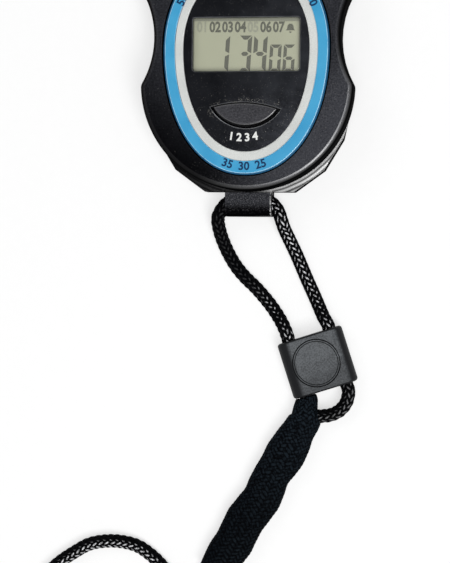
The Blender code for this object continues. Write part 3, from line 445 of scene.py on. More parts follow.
# %% [markdown]
# The yarns are black, faded to a very dark grey in blotches, and polished nearly white where hands and
# table have rubbed them. A picture of a braid could be wrapped round the tube, but it would slip on the
# bends. The finish works out the same formula as the shape does, so every gleam sits on a yarn. Masks
# over the whole object say where the cord was rubbed, which is what makes it look used.

# %% Yarn finish
CORD = 3.8 * MM
LUG_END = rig.box("back_shell")[0].y
CORD_YARNS, CORD_LAY, CORD_RELIEF = 10.0, 20.0 * MM, 0.3 * MM
KNIT_YARNS, KNIT_LAY, KNIT_RELIEF = 22.0, 30.0 * MM, 0.2 * MM
BLACK_YARN = srgb(2, 2, 3)
WAYS = ("along", "around")  # the attributes that say where on the cord a point lies
WORN = (-8.0, 1.0)  # mm across a slanting line, from clean black yarns to rubbed and shiny ones
PAST_SLIDER = (-47.0, -43.0)  # mm along Y from the lug's end, below which the yarns are less rubbed
WORN_AGAIN = (-145.0, -138.0)  # mm along Y, below which the neck cord is rubbed too
KNIT_DARKENS = (-150.0, -100.0)  # mm along Y, from where the knit is least faded to where it is most
LIT_SIDE = (0.35, -0.4, 0.85)  # up and to the lower right, where the polished yarns face


def yarn_finish(name, dark, faded, lit, yarns, lay, share, depth, deepest=1.0):
    """Black yarn, faded in blotches, with a gleam along each float. On a share of the floats it is strong."""
    finish = Finish(name, dark, 0.5, Specular_IOR_Level=0.012)
    along, around = [make(finish.tree, "ShaderNodeAttribute", attribute_name=way, output="Fac")
                     for way in WAYS]
    height, gleam = woven(along, around, yarns, lay)
    worn = finish.noise(0.9 * MM, roughness=0.7).within(0.62 - share, 0.9 - share)
    lint = finish.noise(0.15 * MM, detail=1.0, seed=0.3).within(0.35, 0.65)
    down = finish.axis("Y") - LUG_END / MM
    past_slider = 1 - down.within(*PAST_SLIDER)
    near = (finish.axis("X") + 0.35 * down).within(*WORN) * (1 - 0.8 * past_slider)
    handled = 0.05 + 0.95 * near.at_least(1 - finish.axis("Y").within(*WORN_AGAIN))
    facing = finish.facing(*LIT_SIDE).within(0.68, 0.86)
    sheen = gleam.within(0.15, 0.75) * (0.15 + 0.85 * worn) * (0.4 + 0.6 * lint) * handled * facing
    blotch = finish.noise(0.9 * MM, seed=2.0, roughness=0.6).within(0.36, 0.62)
    depth_tone = deepest + (1 - deepest) * finish.axis("Y").within(*KNIT_DARKENS)
    shade = finish.mix(height.within(0.15, 0.7) * (0.08 + 0.92 * blotch) * depth_tone, dark, faded)
    finish.bump(height, depth, 0.7)
    return finish.done(finish.mix(sheen, shade, lit), 0.62 - 0.25 * sheen,
                       finish.noise(0.1 * MM, detail=1.0, seed=1.0), 0.04 * MM)


cord_yarn = yarn_finish("cord_yarn", BLACK_YARN, srgb(13, 13, 15), srgb(234, 235, 238), CORD_YARNS, CORD_LAY,
                        share=0.34, depth=CORD_RELIEF)
knit_yarn = yarn_finish("knit_yarn", BLACK_YARN, srgb(25, 32, 38), srgb(38, 48, 54), KNIT_YARNS, KNIT_LAY,
                        share=0.1, depth=KNIT_RELIEF, deepest=0.4)
print("yarn finishes:", cord_yarn.name, knit_yarn.name)

# %% [markdown]
# A modifier of Geometry Nodes runs a tree on an object. Its inputs are set by the identifiers of the
# tree's sockets, and its result is then kept as a plain mesh, which other programs can read as well.
# Trees could be built by hand in the editor. Written down, they keep the sizes of this watch as inputs.

# %% Trees of Geometry Nodes


def geometry_tree(name, **inputs):
    """A Geometry Nodes tree with named inputs, and a geometry in and out. Also its ports and a node maker."""
    tree = bpy.data.node_groups.new(name, "GeometryNodeTree")
    tree.interface.new_socket("Geometry", in_out="INPUT", socket_type="NodeSocketGeometry")
    tree.interface.new_socket("Geometry", in_out="OUTPUT", socket_type="NodeSocketGeometry")
    for label, kind in inputs.items():
        tree.interface.new_socket(label, in_out="INPUT", socket_type="NodeSocket" + kind)
    source = tree.nodes.new("NodeGroupInput")
    ports = {socket.name: Value(tree, socket) for socket in source.outputs if socket.name}

    def add(kind, inputs=None, output=0, **settings):
        return make(tree, "GeometryNode" + kind, inputs, output, **settings)
    return tree, ports, add


def finish_tree(tree, add, result, finish):
    """Ends a tree with Realize Instances and Set Material."""
    real = add("RealizeInstances", {"Geometry": result})
    dressed = add("SetMaterial", {"Geometry": real, "Material": finish})
    tree.links.new(dressed.socket, tree.nodes.new("NodeGroupOutput").inputs[0])


def evaluated(item):
    """A plain mesh of what an object's modifiers make, or of its text."""
    bpy.context.view_layer.update()
    graph = bpy.context.evaluated_depsgraph_get()
    return bpy.data.meshes.new_from_object(item.evaluated_get(graph), depsgraph=graph)


def grown(name, source, tree, **values):
    """Runs a tree on an object, and returns the result as a plain mesh object of this name."""
    modifier = source.modifiers.new("grow", "NODES")
    modifier.node_group = tree
    for item in tree.interface.items_tree:
        if item.in_out == "INPUT" and item.name in values:
            modifier[item.identifier] = values[item.name]
    data = evaluated(source)
    data.name = name
    bpy.data.objects.remove(source)
    return link(name, data)


print("trees take a geometry in and give a geometry out")

# %% [markdown]
# The braid's tree cuts the route into short steps, sweeps a circle along it, and lifts every point along
# its normal by the height of the yarn there. The knitted sleeve needs the same lift on a shape of its
# own, so the lift is a function, and both trees end with it.

# %% Braid tree
SEAM_TURN = radians(90)  # puts the seam of every tube underneath
braid_tree, port, add = geometry_tree("braid", Radius="Float", Relief="Float", Step="Float", Sides="Int",
                                      Yarns="Float", Lay="Float", Material="Material")


def woven_surface(tree, port, add, shape):
    """Raises the yarns on a shape that has the attributes along and around, and ends the tree."""
    along, around = [add("InputNamedAttribute", {"Name": way}, data_type="FLOAT") for way in WAYS]
    height, _ = woven(along, around, port["Yarns"], port["Lay"])
    lift = make(tree, "ShaderNodeVectorMath", {0: add("InputNormal"), "Scale": height * port["Relief"]},
                operation="SCALE")
    shape = add("SetPosition", {"Geometry": shape, "Offset": lift})
    finish_tree(tree, add, add("SetShadeSmooth", {"Geometry": shape}), port["Material"])


def marked(curve, way, measure):
    """Stores how far along its curve every point lies, as a length or as a share."""
    value = add("SplineParameter", output=measure)
    return add("StoreNamedAttribute", {"Geometry": curve, "Name": way, "Value": value}, data_type="FLOAT",
               domain="POINT")


line = add("ResampleCurve", {"Curve": port["Geometry"], "Length": port["Step"]}, mode="LENGTH")
line = marked(add("SetCurveNormal", {"Curve": line}, mode="Z_UP"), "along", "Length")
radius = port["Radius"] - port["Relief"]
section = add("CurvePrimitiveCircle", {"Resolution": port["Sides"], "Radius": radius})
section = marked(section, "around", "Factor")
section = add("Transform", {"Geometry": section, "Rotation": (0.0, 0.0, SEAM_TURN)})
tube = add("CurveToMesh", {"Curve": line, "Profile Curve": section, "Fill Caps": True})
woven_surface(braid_tree, port, add, tube)
print("braid tree:", len(braid_tree.nodes), "nodes")

# %% [markdown]
# Every cord follows the route that the CAD part gives it, so the route's points are repeated here,
# in millimetres from the end of the lug. They were chosen by hand along the cord in the photograph. A
# simulated cord would lie just as naturally, but not where this one lies.

# %% Points of the cord routes
LEFT_LEG = (
    (11.6, -35.7, 4.0), (10.1, -32.6, 3.4), (8.2, -29.7, 2.5), (6.2, -27.0, 2.1), (4.0, -24.4, 2.0),
    (1.5, -21.7, 2.0), (-1.5, -18.9, 2.0), (-4.2, -15.8, 2.0), (-6.4, -12.4, 2.1), (-8.2, -8.6, 2.6),
    (-9.4, -4.8, 4.0),
)
RIGHT_LEG = (
    (10.7, -3.8, 4.0), (12.4, -7.6, 2.6), (14.3, -11.6, 2.1), (16.1, -15.7, 2.0), (17.9, -19.8, 2.0),
    (19.7, -23.6, 2.1), (21.4, -27.3, 2.6), (23.0, -30.7, 3.5),
)
U_TURN = (
    (31.0, -53.2, 3.9), (30.3, -56.6, 3.7), (28.3, -59.2, 3.6), (25.7, -60.6, 3.6), (23.7, -61.0, 3.6),
)
NECK_ARC = (
    (-11.0, -108.7, 3.5), (-12.2, -111.1, 3.5), (-13.9, -113.6, 2.9), (-16.9, -115.6, 2.2),
    (-20.5, -115.3, 2.0), (-23.9, -113.0, 2.0), (-27.0, -109.9, 2.0), (-30.4, -106.7, 2.0),
    (-35.0, -103.8, 2.0), (-40.4, -102.6, 2.0), (-45.8, -102.7, 2.0), (-50.8, -103.9, 2.0),
    (-55.6, -106.7, 2.0), (-60.3, -110.0, 2.0), (-64.8, -114.4, 2.0), (-68.5, -120.4, 2.0),
    (-70.8, -128.2, 2.0), (-71.6, -136.8, 2.0),
)
NECK_RETURN = (
    (-15.6, -142.3, 5.6), (-15.5, -136.3, 4.0), (-15.1, -130.1, 2.6), (-13.6, -123.6, 2.3),
    (-11.2, -118.0, 2.8), (-8.5, -113.6, 3.5), (-7.2, -110.8, 3.5),
)
print("hand-chosen points:", len(LEFT_LEG + RIGHT_LEG + U_TURN + NECK_ARC + NECK_RETURN))

# %% [markdown]
# A few points make a smooth cord once a curve is led through them. The editor's curves need handles at
# each point. The spline used here takes its direction at a point from the two beside it, so the points
# are all it needs, and it is then cut into even steps.

# %% Routes through the points
CORD_PLUMP = 0.25 * MM  # how far the soft braid swells past the plain tube of the CAD part
CORD_LIFT = CORD_PLUMP - 0.05 * MM
PIECES = 16  # short lines between two points, before the even steps


def from_lug(x, y, z=0.0):
    """A place from the middle of the lug's end, in metres."""
    return Vector((x, LUG_END + y, z))


def route(points):
    """Hand-chosen points in metres, lifted by what the braid swells."""
    return [from_lug(x * MM, y * MM, z * MM + CORD_LIFT) for x, y, z in points]


def smooth_route(points, spacing):
    """Evenly spaced points on a smooth curve through hand-chosen ones."""
    ends = [2 * points[0] - points[1], *points, 2 * points[-1] - points[-2]]
    fine = []
    for a, b, c, d in zip(ends, ends[1:], ends[2:], ends[3:]):
        for i in range(PIECES):
            t = i / PIECES
            fine.append(0.5 * (2 * b + (c - a) * t + (2 * a - 5 * b + 4 * c - d) * t * t
                               + (3 * b - a - 3 * c + d) * t * t * t))
    fine = np.array(fine + [points[-1]])
    reach = np.concatenate([[0], np.cumsum(np.linalg.norm(np.diff(fine, axis=0), axis=1))])
    wanted = np.linspace(0, reach[-1], max(2, round(reach[-1] / spacing)) + 1)
    return [Vector(p) for p in np.stack([np.interp(wanted, reach, fine[:, k]) for k in range(3)], axis=1)]


def route_length(points):
    return sum((b - a).length for a, b in zip(points, points[1:]))


print("the left leg is", round(route_length(route(LEFT_LEG)) / MM, 1), "mm long")

# %% [markdown]
# Three stretches of cord follow a rule instead of chosen points: the two bores of the cord stop, the
# passage through the lug, and the coil that the unseen length of the neck cord is laid in, beside the
# watch. Arcs and a spiral from a formula keep their distances exactly, which points set by eye don't.

# %% Bores, passage and coil
SLIDER_THICK, SLIDER_LENGTH, SLIDER_WIDTH = 8.0 * MM, 17.6 * MM, 20.6 * MM
SLIDER_PLACE = (21.3 * MM, -44.5 * MM)
SLIDER_TURN = radians(18.3)
BORE_SPACING = 13.0 * MM
LUG_HALF = 7.1 * MM
EYE_RISE, EYE_HEIGHT = 6.0 * MM, 6.2 * MM
CORD_BEND = 8.2 * MM
COIL_PLACE = (-43.5 * MM, -153.3 * MM)
COIL_TURNS, COIL_POINTS = 5.5, 528
COIL_DIAMETER = 44.0 * MM
COIL_PITCH = CORD + 0.6 * MM
COIL_EASE = 0.01  # in turns squared: rounds the spiral where it turns back outwards
slider_frame = turned_at(from_lug(*SLIDER_PLACE, SLIDER_THICK / 2), SLIDER_TURN)


def in_slider(side, along):
    return slider_frame @ Vector((side * BORE_SPACING / 2, along, 0.0))


def passage_route():
    """Through the lug: level in the middle and bent down at both ends."""
    rise = LUG_END + EYE_RISE - CORD_BEND
    flat = LUG_HALF + CORD / 2 - CORD_BEND + CORD / 4
    bends = [(side, radians(angle)) for side, angles in ((-1, range(170, 89, -20)), (1, range(90, 9, -20)))
             for angle in angles]
    return [Vector((side * flat + CORD_BEND * cos(angle), rise + CORD_BEND * sin(angle), EYE_HEIGHT))
            for side, angle in bends]


def coil_point(turns):
    """A point of the coil: in over the first half of its turns, and out again one layer up."""
    half = COIL_TURNS / 2
    past = turns - half
    radius = COIL_DIAMETER / 2 - COIL_PITCH * half / 2 + COIL_PITCH * sqrt(past ** 2 + COIL_EASE)
    share = min(max(past * 2 + 0.5, 0.0), 1.0)
    climb = share * share * (3 - 2 * share)
    angle = pi + 2 * pi * turns
    return from_lug(COIL_PLACE[0] + radius * cos(angle), COIL_PLACE[1] + radius * sin(angle),
                    CORD / 2 + CORD_PLUMP + COIL_PITCH * climb)


coil = [coil_point(COIL_TURNS * i / COIL_POINTS) for i in range(COIL_POINTS + 1)]
print("coil:", round(route_length(coil) / MM), "mm of cord")

# %% [markdown]
# On the real lanyard one cord runs from the sleeve through the cord stop, round the lug and back. It is
# split inside the bores into a loop and two tails, because the loop has to give way when the cord stop
# slides, and the tails stay where they are. The split is hidden inside the rubber. The ends of the tails
# and of the neck cord are hidden inside the cloth of the sleeve.

# %% Four routes
STEP = 1.0 * MM
GAP = 0.3 * MM
TAIL_INSIDE = 1.2 * MM
SLEEVE_ENTRY = (20.6 * MM, -61.3 * MM, 3.6 * MM)  # inside the cloth, where the cord's end is hidden
COIL_SKIP = 4  # the smooth curve needs only every fourth point of the coil
inside = SLIDER_LENGTH / 2 - TAIL_INSIDE  # along a bore, where the loop ends
above = SLIDER_LENGTH / 2 + 0.4 * CORD  # just over the cord stop
below = -SLIDER_LENGTH / 2 - CORD / 4  # just under it
lead = Vector((0.0, CORD, 0.0))  # the way in which the cord comes to the coil
loop_route = smooth_route(
    [in_slider(-1, inside), in_slider(-1, above), *route(LEFT_LEG), *passage_route(), *route(RIGHT_LEG),
     in_slider(1, above), in_slider(1, inside)], STEP)
left_points, right_points = [[in_slider(side, y) for y in (inside - GAP, 0, below)] for side in (-1, 1)]
left_tail_route = smooth_route(left_points, STEP)
right_tail_route = smooth_route([*right_points, *route(U_TURN), from_lug(*SLEEVE_ENTRY)], STEP)
neck_route = smooth_route(
    [*route(NECK_ARC), coil[0] + lead, *coil[::COIL_SKIP], coil[-1] + lead, *route(NECK_RETURN)], STEP)
for label, points in (("loop", loop_route), ("right tail", right_tail_route), ("neck cord", neck_route)):
    print(label, round(route_length(points) / MM, 1), "mm")

# %% [markdown]
# Each route becomes a curve of straight pieces, and the braid tree turns it into a cord. The neck cord
# is eight times as long as the loop, and most of it lies outside the picture. So its rings are wider
# apart and have fewer sides, which keeps its mesh small.

# %% Grow the cords
BRAID = {"Radius": CORD / 2 + CORD_PLUMP, "Relief": CORD_RELIEF, "Yarns": CORD_YARNS, "Lay": CORD_LAY,
         "Material": cord_yarn}


def braided(name, points, step, sides):
    """A braided cord along a route, as a mesh."""
    curve = bpy.data.curves.new(name + "_line", "CURVE")
    curve.dimensions = "3D"
    spline = curve.splines.new("POLY")
    spline.points.add(len(points) - 1)
    for point, where in zip(spline.points, points):
        point.co = (*where, 1.0)
    cord = grown(name, link(name + "_line", curve), braid_tree, **BRAID, Step=step, Sides=sides)
    print(name, len(cord.data.polygons), "faces")
    return cord


loop = braided("lanyard_loop_cord", loop_route, 0.2 * MM, 48)
left_tail = braided("cord_tail_left_cord", left_tail_route, 0.2 * MM, 48)
right_tail = braided("cord_tail_right_cord", right_tail_route, 0.2 * MM, 48)
neck = braided("neck_cord", neck_route, 0.32 * MM, 32)

# %% [markdown]
# Every piece is told which body it rides on, which finish it takes and which plain pieces of the CAD
# part it stands for. The loop lies between two bodies, so it is blended: it follows the case at the lug
# and the cord stop at its other end. Each free cord also says how long and how limp it really is.


def belongs(piece, body, slot, *nodes):
    """Lets a piece ride on a body, with a slot's finish, in place of the CAD nodes that it stands for."""
    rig.ride(piece, body)
    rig.slot(piece, slot)
    if nodes:
        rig.replaces(piece, *nodes)
    return piece


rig.blend(loop, "case", "slider", start=tuple(from_lug(0, -4 * MM)), end=tuple(in_slider(0, above)))
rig.replaces(loop, "lanyard_loop")
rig.slot(loop, "cord_braid")
belongs(left_tail, "case", "cord_braid", "cord_tail_left")
belongs(right_tail, "case", "cord_braid", "cord_tail_right")
belongs(neck, "case", "cord_braid", "neck_cord_arc", "neck_coil", "neck_cord_return")
for cord, points, lay, others in ((loop, loop_route, "loose", {}),
                                  (right_tail, right_tail_route, "loose", {"with_pieces": [left_tail]}),
                                  (neck, neck_route, "coiled", {})):
    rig.cord(cord, exit=tuple(points[0]), length=round(route_length(points), 4), diameter=CORD,
            far_end="object", stiffness="limp", lay=lay, path=[tuple(p) for p in points], **others)
    print(cord.name, "declared,", lay)

# %% [markdown]
# Many pieces from here on are swept. A ring of points is drawn again and again along a way, and faces
# join each ring to the next. A curve with a profile does the same where the section stays alike. Rings
# from Python may change their size and shape on the way.

# %% Closed shapes from rings of points


@contextmanager
def opened(data):
    """A mesh, open for editing inside a with block, and written back at its end."""
    mesh = bmesh.new()
    mesh.from_mesh(data)
    yield mesh
    mesh.to_mesh(data)
    mesh.free()


def add_rings(mesh, rings, closed):
    """Joins each ring of points to the next, and caps both ends, or joins them when closed."""
    rows = [[mesh.verts.new(p) for p in ring] for ring in rings]
    count = len(rows[0])
    if not closed:
        mesh.faces.new(list(reversed(rows[0])))
        mesh.faces.new(rows[-1])
    for low, high in list(zip(rows, rows[1:])) + ([(rows[-1], rows[0])] if closed else []):
        for i in range(count):
            j = (i + 1) % count
            mesh.faces.new((low[i], low[j], high[j], high[i]))


def shape(name, parts, closed=False):
    """A mesh of closed parts, each given as rings of points, with its faces turned outwards."""
    data = bpy.data.meshes.new(name)
    with opened(data) as mesh:
        for rings in parts:
            add_rings(mesh, rings, closed)
        bmesh.ops.recalc_face_normals(mesh, faces=mesh.faces)
    return data


print("rings of points become closed meshes")

# %% [markdown]
# The knitted sleeve covers both strands. It is soft and lies flat on the table, wider than it is high,
# and its edges are pinched at uneven steps. A cloth simulation would crumple it in another way on every
# change. So an oval tube is swept, whose width changes along the way, and a second tree of Geometry Nodes
# raises the same woven relief on it, much finer than on the cord.

# %% Knitted sleeve
SLEEVE = (  # x and y from the lug's end, and the width there, in mm
    (17.9, -55.4, 6.4), (18.1, -56.4, 6.7), (17.6, -59.2, 7.6), (17.2, -62.9, 10.0), (13.5, -69.8, 11.8),
    (8.1, -79.4, 11.8), (3.6, -87.7, 12.2), (-1.8, -96.5, 12.2), (-6.4, -104.4, 12.0), (-9.9, -111.0, 11.0),
)
SLEEVE_THICK = 7.0 * MM
SLEEVE_LIFT = 0.2 * MM  # room for the relief between the cloth and the table
SLEEVE_TALLEST = 1.9  # height where the sleeve is narrow, as a share of half its width
SLEEVE_FULLNESS = 0.85  # under 1, the section is fuller at its edges than an ellipse
SLEEVE_SIDES, SLEEVE_STEP = 96, 0.3
SELVAGE = 0.12 * MM  # how far each edge keeps inside the width, for the relief
PINCHES = ((5.5, 0.4, -0.1), (11.0, -0.5, -0.2), (19.5, 0.3, 0.3), (27.0, -0.6, 0.1), (35.0, 0.35, -0.5),
           (43.5, -0.3, 0.4), (51.5, 0.4, -0.35))  # mm along, then how far each edge stands out
PINCH_REACH = 2.6  # mm along
CUFF = ((1.6, 0.55), (0.5, 0.8), (0.1, 0.9), (0.0, 0.96))  # mm inwards, and the size that is left there


def sleeve_mesh():
    """An oval tube with uneven edges, whose ends fold inwards like an open cuff."""
    line = np.array(smooth_route([Vector(p) for p in SLEEVE], SLEEVE_STEP))
    middle = np.array([from_lug(x * MM, y * MM, SLEEVE_THICK / 2 + SLEEVE_LIFT) for x, y, _ in line])
    half = line[:, 2] * MM / 2
    reach = np.concatenate([[0], np.cumsum(np.linalg.norm(np.diff(middle, axis=0), axis=1))])
    ahead = np.gradient(middle, axis=0)
    ahead /= np.linalg.norm(ahead, axis=1)[:, None]
    side = np.stack([-ahead[:, 1], ahead[:, 0], np.zeros(len(line))], axis=1)
    tall = np.minimum(half * SLEEVE_TALLEST, SLEEVE_THICK) / 2
    left, right = half - SELVAGE, half - SELVAGE
    for where, out_left, out_right in PINCHES:
        bell = np.exp(-((reach / MM - where) / PINCH_REACH) ** 2) * MM
        left, right = left + out_left * bell, right + out_right * bell
    angles = -pi / 2 + np.arange(SLEEVE_SIDES) * 2 * pi / SLEEVE_SIDES
    c, s = np.cos(angles), np.sin(angles)

    def ring(i, shift=0.0, size=1.0):
        out = np.where(c > 0, left[i], right[i]) * np.sign(c) * np.abs(c) ** SLEEVE_FULLNESS
        wide = np.outer(out, side[i])
        return middle[i] + ahead[i] * shift + size * (wide + np.outer(tall[i] * s, (0, 0, 1)))

    last = len(line) - 1
    rings = [ring(0, shift * MM, size) for shift, size in CUFF]
    rings += [ring(i) for i in range(1, last)]
    rings += [ring(last, -shift * MM, size) for shift, size in reversed(CUFF)]
    data = shape("sleeve_line", [rings])
    hidden = len(CUFF) - 1
    store(data, "along", np.repeat([0.0] * hidden + list(reach) + [reach[-1]] * hidden, SLEEVE_SIDES))
    store(data, "around", np.tile(np.arange(SLEEVE_SIDES) / SLEEVE_SIDES, len(rings)))
    return data


def store(data, name, values):
    """A float for each point of a mesh, which node trees can read by name."""
    data.attributes.new(name, "FLOAT", "POINT").data.foreach_set("value", np.asarray(values, np.float32))


knit_tree, port, add = geometry_tree("knit", Relief="Float", Yarns="Float", Lay="Float", Material="Material")
woven_surface(knit_tree, port, add, port["Geometry"])
sleeve = grown("sleeve_cloth", link("sleeve_line", sleeve_mesh()), knit_tree, Relief=KNIT_RELIEF,
               Yarns=KNIT_YARNS, Lay=KNIT_LAY, Material=knit_yarn)
belongs(sleeve, "case", "sleeve_knit", "lanyard_sleeve")
print("sleeve:", len(sleeve.data.polygons), "faces")

# %% [markdown]
# The case, the buttons and the cord stop are moulded. Their upward faces carry a film of dust and skin
# grease, mottled by handling, and their sides are clean and nearly black. A painted dirt map would look
# real only where it was painted for. One recipe for all mouldings takes functions instead, which say
# where a moulding is glossy, dusty, dirty or rubbed, and each of them is a few masks over its own shape.

# %% Moulded plastic
DUST = srgb(150, 148, 142)
GRAIN_TONE, RUB_TONE = srgb(150, 150, 154), srgb(196, 196, 196)
GLOSS = 0.15  # roughness where a moulding is smooth


def moulded(name, clean, dusty, dust=0.5, grain=0.16 * MM, roughness=0.5, shine=0.04, gloss=None, dark=None,
            film=None, coat=None, sparkle=None, rubbed=None):
    """Moulded plastic, clean and nearly black on its sides, and with a film of dust on its upward faces.

    Where gloss is 1 it is smooth, where dark is 1 it is dirt in a groove, and film is how thick the dust is.
    A coat is a shiny skin, sparkle is where light grains show, and rubbed is worn to a pale line.
    """
    finish = Finish(name, clean, roughness, Specular_IOR_Level=shine, Coat_Roughness=0.27, Coat_IOR=1.65)
    cloud = finish.noise(5 * MM, detail=3.0).within(0.3, 0.75)
    mottle = finish.noise(0.5 * MM, detail=3.0, seed=6.0, roughness=0.6).within(0.34, 0.68)
    dots = finish.specks(0.8 * MM, 0.1 * MM) * finish.noise(3 * MM, seed=2.0).within(0.45, 0.7)
    up = finish.facing(0, 0, 1).within(0.75, 0.985)
    cover = up * (0.45 + 0.2 * cloud + 0.7 * mottle) * (film(finish) if film else 1.0)
    tone = finish.mix(cover, clean, dusty)
    if dark:
        tone = finish.mix(dark(finish), tone, tuple(0.3 * c for c in clean))
    rough = roughness + 0.12 * (cloud - 0.5)
    relief = finish.noise(grain, detail=1.0, seed=3.0)
    if gloss:
        smooth_part = gloss(finish)
        dots = dots * (1 - 0.7 * smooth_part)
        rough = rough - (roughness - GLOSS) * smooth_part
        relief = relief * (1 - smooth_part)
    tone = finish.mix(dots * up * dust, tone, DUST)
    if sparkle:
        grains = finish.noise(0.38 * MM, seed=9.0, roughness=0.7).within(0.5, 0.68)
        tone = finish.mix(grains * up * sparkle(finish), tone, GRAIN_TONE)
    if rubbed:
        tone = finish.mix(rubbed(finish), tone, RUB_TONE)
    if coat:
        finish.set("Coat Weight", coat(finish))
    return finish.done(tone, rough, relief, 0.04 * MM, 0.6)


print("a glossy moulding has a roughness of", GLOSS)

# %% [markdown]
# The rim of the case and its walls are smooth, and polished most towards the lower right. The flat
# face, the lug and the back got a fine texture in the mould, so they are dull. The heel is scratched in
# streaks that run round it. Separate materials would meet in hard lines. Each of these is a soft band of
# heights or places instead, in millimetres.

# %% Where the case is smooth and where it shines
SHELL_LOW, CASE_HEIGHT = [corner.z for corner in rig.box("front_shell")]
FACE_HEIGHT, PARTING_HEIGHT = CASE_HEIGHT / MM, SHELL_LOW / MM
LUG_TOP = LUG_END / MM + 7.6  # where the lug meets the case
LUG_SIDE = LUG_HALF / MM - 0.2
HEEL_ROUND = 5.2 * MM  # radius of the heel's rounded shoulder, which starts at the parting line


def case_gloss(finish):
    """The rounded rim and the side walls are smooth. The face, the lug and the back are textured."""
    height = finish.axis("Z")
    smooth_walls = height.band(1.2, 1.8, FACE_HEIGHT - 0.03, FACE_HEIGHT - 0.008)
    return smooth_walls * finish.axis("Y").within(LUG_TOP - 0.3, LUG_TOP)


def heel_streaks(finish):
    """Streaks that run along the right half of the heel's shoulder, where it slides on tables."""
    x, y, height = [finish.axis(letter) for letter in "XYZ"]
    under = PARTING_HEIGHT - height
    heel = under.band(0.2, 0.28, 1.7, 2.3)
    drop = (under - 0.3).at_least(0.0)
    out = (drop * (2 * HEEL_ROUND / MM - drop)).at_least(0.0) ** 0.5
    wave = (out * 5.2 + 2.0 * finish.noise(7 * MM, detail=1.0, seed=5.0)).sine() * 0.5 + 0.5
    return heel * (0.12 + 0.88 * wave) * (x - y).within(-4.0, 30.0) * (0.06 + 0.94 * x.within(0.0, 8.0))


def case_coat(finish):
    """The rim is polished towards the lower right, the walls hardly, and the heel in streaks."""
    x, y, height = [finish.axis(letter) for letter in "XYZ"]
    up = finish.facing(0, 0, 1)
    rim = height.within(FACE_HEIGHT - 1.5, FACE_HEIGHT - 1.0) * (0.12 + 0.88 * (x - y).within(14.0, 40.0))
    rim = rim * up.within(0.6, 0.85)
    pocket = height.band(FACE_HEIGHT - 1.4, FACE_HEIGHT - 1.2, FACE_HEIGHT - 1.0, FACE_HEIGHT - 0.9)
    open_part = 1 - pocket * up.within(0.7, 0.95)
    return case_gloss(finish) * open_part * (0.02 + 0.98 * rim + heel_streaks(finish))


print("the face is at", round(FACE_HEIGHT, 2), "mm and the parting line at", round(PARTING_HEIGHT, 2), "mm")

# %% [markdown]
# Dust stays where nothing wipes it off. On this case that is the upper right of the face and the top of
# the lug, and a hand keeps the lower left clean. The edges that touch other things are rubbed pale.

# %% Where the case is dusty and rubbed


def on_lug(finish):
    """1 on the flat top of the lug, up to the start of its nose."""
    return finish.axis("Y").band(LUG_TOP - 5.6, LUG_TOP - 2.8, LUG_TOP - 0.2, LUG_TOP)


def case_film(finish):
    """The hand wipes the lower left of the case. The dust grows up and to the right, and lies on the lug."""
    x, y, z = [finish.axis(letter) for letter in "XYZ"]
    face = (0.6 * x + 0.8 * y).within(-37.0, -5.0) * (0.55 + 0.1 * x.within(-22.0, 16.0))
    face = face + 0.6 * (x - y).within(20.0, 44.0)
    film = (face * z.within(FACE_HEIGHT - 0.45, FACE_HEIGHT - 0.15)).at_least(0.65 * on_lug(finish))
    return 0.02 + 0.98 * film


def case_sparkle(finish):
    """Light grains on the lug, and fewer on the lower right of the face."""
    face = (finish.axis("X") - finish.axis("Y")).within(10.0, 34.0)
    return 0.32 * on_lug(finish) + 0.1 * face * (1 - on_lug(finish))


def case_rub(finish):
    """The right edge of the lug is rubbed pale in short pieces, and the heel in streaks."""
    edge = finish.axis("X").near(LUG_SIDE, 0.08, 0.24) * (1 - finish.axis("Y").within(LUG_TOP - 0.2, LUG_TOP))
    pieces = finish.noise(1.2 * MM, seed=4.0).within(0.42, 0.6)
    return (0.8 * edge * pieces).at_least(0.62 * heel_streaks(finish))


case_plastic = moulded("case_plastic", srgb(3, 3, 4), srgb(58, 59, 64), shine=0.0, gloss=case_gloss,
                       film=case_film, coat=case_coat, sparkle=case_sparkle, rubbed=case_rub)
print("case plastic:", len(case_plastic.node_tree.nodes), "nodes")

# %% [markdown]
# The buttons are the same plastic, evenly dusty on top, and fingers have polished their rounded edges.
# The cord stop is a softer, greyer rubber, and dirt fills the two round lines in its top. Both use the
# recipe of the case with masks of their own, which is less work than two new materials.

# %% Buttons and rubber
SLIDER_RINGS = (7.25, 6.65)  # radii of the two round lines in its top, in mm


def button_coat(finish):
    """Fingers have polished the rounded edges of the buttons."""
    return finish.facing(0, 0, 1).band(0.3, 0.6, 0.96, 0.995)


def from_slider(finish):
    """X and Y from the middle of the cord stop, in millimetres."""
    middle = slider_frame.translation / MM
    return finish.axis("X") - middle.x, finish.axis("Y") - middle.y


def line_dark(finish):
    """The two round lines hold dirt, so they are darker than the top round them."""
    x, y = from_slider(finish)
    reach = (x * x + y * y) ** 0.5
    outer, inner = [reach.near(radius, 0.05, 0.2) for radius in SLIDER_RINGS]
    return (0.5 * outer + 0.25 * inner) * (0.5 + 0.5 * finish.noise(5 * MM, seed=3.0).within(0.35, 0.6))


def slider_film(finish):
    """The cord stop's top is dustier towards its upper end, and clean along its left side."""
    x, y = from_slider(finish)
    across = x * cos(SLIDER_TURN) + y * sin(SLIDER_TURN)
    along = y * cos(SLIDER_TURN) - x * sin(SLIDER_TURN)
    blotch = finish.noise(3.5 * MM, detail=4.0, seed=12.0, roughness=0.6).within(0.3, 0.7)
    return across.within(-7.6, -5.8) * (0.5 + 0.4 * along.within(-8.0, 4.0)) * (0.8 + 0.45 * blotch)


